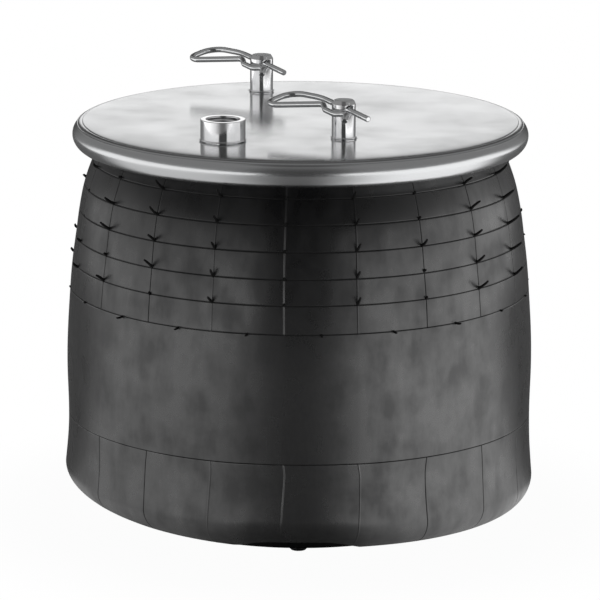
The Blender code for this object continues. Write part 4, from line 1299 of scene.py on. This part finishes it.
def bright_steel(name, colour, roughness, grain, stretch, grain_height, spread):
    """Return a plated steel whose grain has a size in millimetres and a stretch along each axis."""
    material, tree, shader = start_material(name, colour, roughness, 1.0)
    source = add_node(tree, "TexCoord").outputs["Object"]
    mapping = add_node(tree, "Mapping", {"Vector": source, "Scale": stretch})
    fine = add_node(tree, "TexNoise", cells(mapping, grain, 3.0, 0.55))
    clouds = add_node(tree, "TexNoise", cells(source, TARNISH_SIZE, 3.0))
    gloss = between(clouds, TARNISH_SPAN, roughness - spread, roughness + spread)
    gloss = add_node(tree, "MapRange", gloss)
    bump = add_node(tree, "Bump", {"Height": fine, "Strength": grain_height, "Distance": GRAIN_DEPTH})
    feed(tree, shader, {"Roughness": gloss, "Normal": bump})
    return material


EVEN = (1.0, 1.0, 1.0)
# A soft mirror, clearer in some clouds than in others
zinc_sheet = bright_steel("zinc_plated_pressed_sheet", "#cecfd0", 0.16, 1.6, EVEN, 0.25, 0.04)
# The same zinc, with the roll's bright bands a little blurred
zinc_rim = bright_steel("zinc_plated_rolled_rim", "#cecfd0", 0.22, 1.1, EVEN, 0.60, 0.04)
# Crisp upright stripes with fine rings across them
turned_bar = bright_steel("bright_turned_steel", "#f0f0f1", 0.09, 3.0, (1.0, 1.0, 12.0), 0.10, 0.02)
# A bright core along the wire, between dark edges
spring_wire = bright_steel("zinc_plated_spring_wire", "#e4e5e6", 0.10, 0.8, EVEN, 0.20, 0.03)
# An even grey, which shows only where the spring is taken apart
plain_steel = bright_steel("plain_machined_steel", "#a9abad", 0.32, 0.6, EVEN, 0.30, 0.04)
# Matt and light from every side
faced_end = bright_steel("faced_bar_end", "#c8c9ca", 0.42, 0.5, EVEN, 0.30, 0.04)
# Warm rings in the piston's threaded sleeves
brass = bright_steel("turned_brass", "#c9a765", 0.28, 0.6, (1.0, 1.0, 8.0), 0.25, 0.03)

plate.data.materials.append(zinc_sheet)
plate.data.materials.append(zinc_rim)
for face in plate.data.polygons:
    face.material_index = 1 if face.center.xy.length > RIM_START else 0
for piece in posts + [port, thread]:
    piece.data.materials.clear()
    piece.data.materials.append(turned_bar)
for piece in clips:
    piece.data.materials.append(spring_wire)
for piece in posts:
    piece.data.materials.append(faced_end)
    for face in piece.data.polygons:
        face.material_index = 1 if face.normal.z > FACED and face.center.z > POST_TIP_HEIGHT else 0
print("steel finishes: %s" % ", ".join(item.name for item in (zinc_sheet, turned_bar, spring_wire)))

# %% [markdown]
# ## Black coated steel and nylon
#
# The foot disc is dipped in a black coat, which is smooth but not mirror-like, with a faint orange-peel. Its
# bolts are phosphated: a dark crystal skin on the steel, which still mirrors a little. The piston is nylon
# with glass fibre: the fibres float up to the skin and leave a matt, cloudy surface.

# %% Black coated steel and nylon
MOTTLE_SIZE = 12.0            # mm
MOTTLE_DEPTH = 0.2 * MM


def mottled(name, colour, cloud_colour, roughness, cell, height, metallic=0.0, shine=0.5):
    """Return a dark coat or plastic with a mottled tone and a fine relief of one cell size."""
    material, tree, shader = start_material(name, colour, roughness, metallic)
    source = add_node(tree, "TexCoord").outputs["Object"]
    relief = add_node(tree, "TexNoise", cells(source, cell, 2.0))
    clouds = add_node(tree, "TexNoise", cells(source, MOTTLE_SIZE, 4.0))
    tone = {0: clouds, 6: linear(colour), 7: linear(cloud_colour)}
    tone = add_node(tree, "Mix", tone, data_type="RGBA").outputs[2]
    bump = add_node(tree, "Bump", {"Height": relief, "Strength": height, "Distance": MOTTLE_DEPTH})
    feed(tree, shader, {"Base Color": tone, "Normal": bump, "Specular IOR Level": shine})
    return material


# A black that mirrors almost nothing
black_coat = mottled("black_dip_coated_steel", "#050505", "#0b0b0b", 0.50, 1.2, 0.15, 0.0, 0.2)
# Dark facets with one soft highlight each
phosphate = mottled("phosphated_bolt_steel", "#5c5c5e", "#727274", 0.30, 0.8, 0.10, 1.0)
# Cloudy and matt, a little lighter than the rubber
glass_nylon = mottled("glass_filled_nylon", "#111112", "#1d1d1e", 0.55, 0.7, 0.25)
disc.data.materials.clear()
disc.data.materials.append(black_coat)

carried = (
    (glass_nylon, "piston piston_core"),
    (plain_steel, "bead_clamp bump_stop_seat centre_bolt centre_washer centre_nut"),
    (plain_steel, "upper_bead_wire lower_bead_wire"),
    (phosphate, "base_bolt_1 base_bolt_2 base_bolt_3 base_bolt_4"),
    (brass, "base_insert_1 base_insert_2 base_insert_3 base_insert_4"),
)
for material, names in carried:
    for name in names.split():
        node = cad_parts[name]
        node.data.materials.clear()
        node.data.materials.append(material)
    print("%s: %s" % (material.name, names))
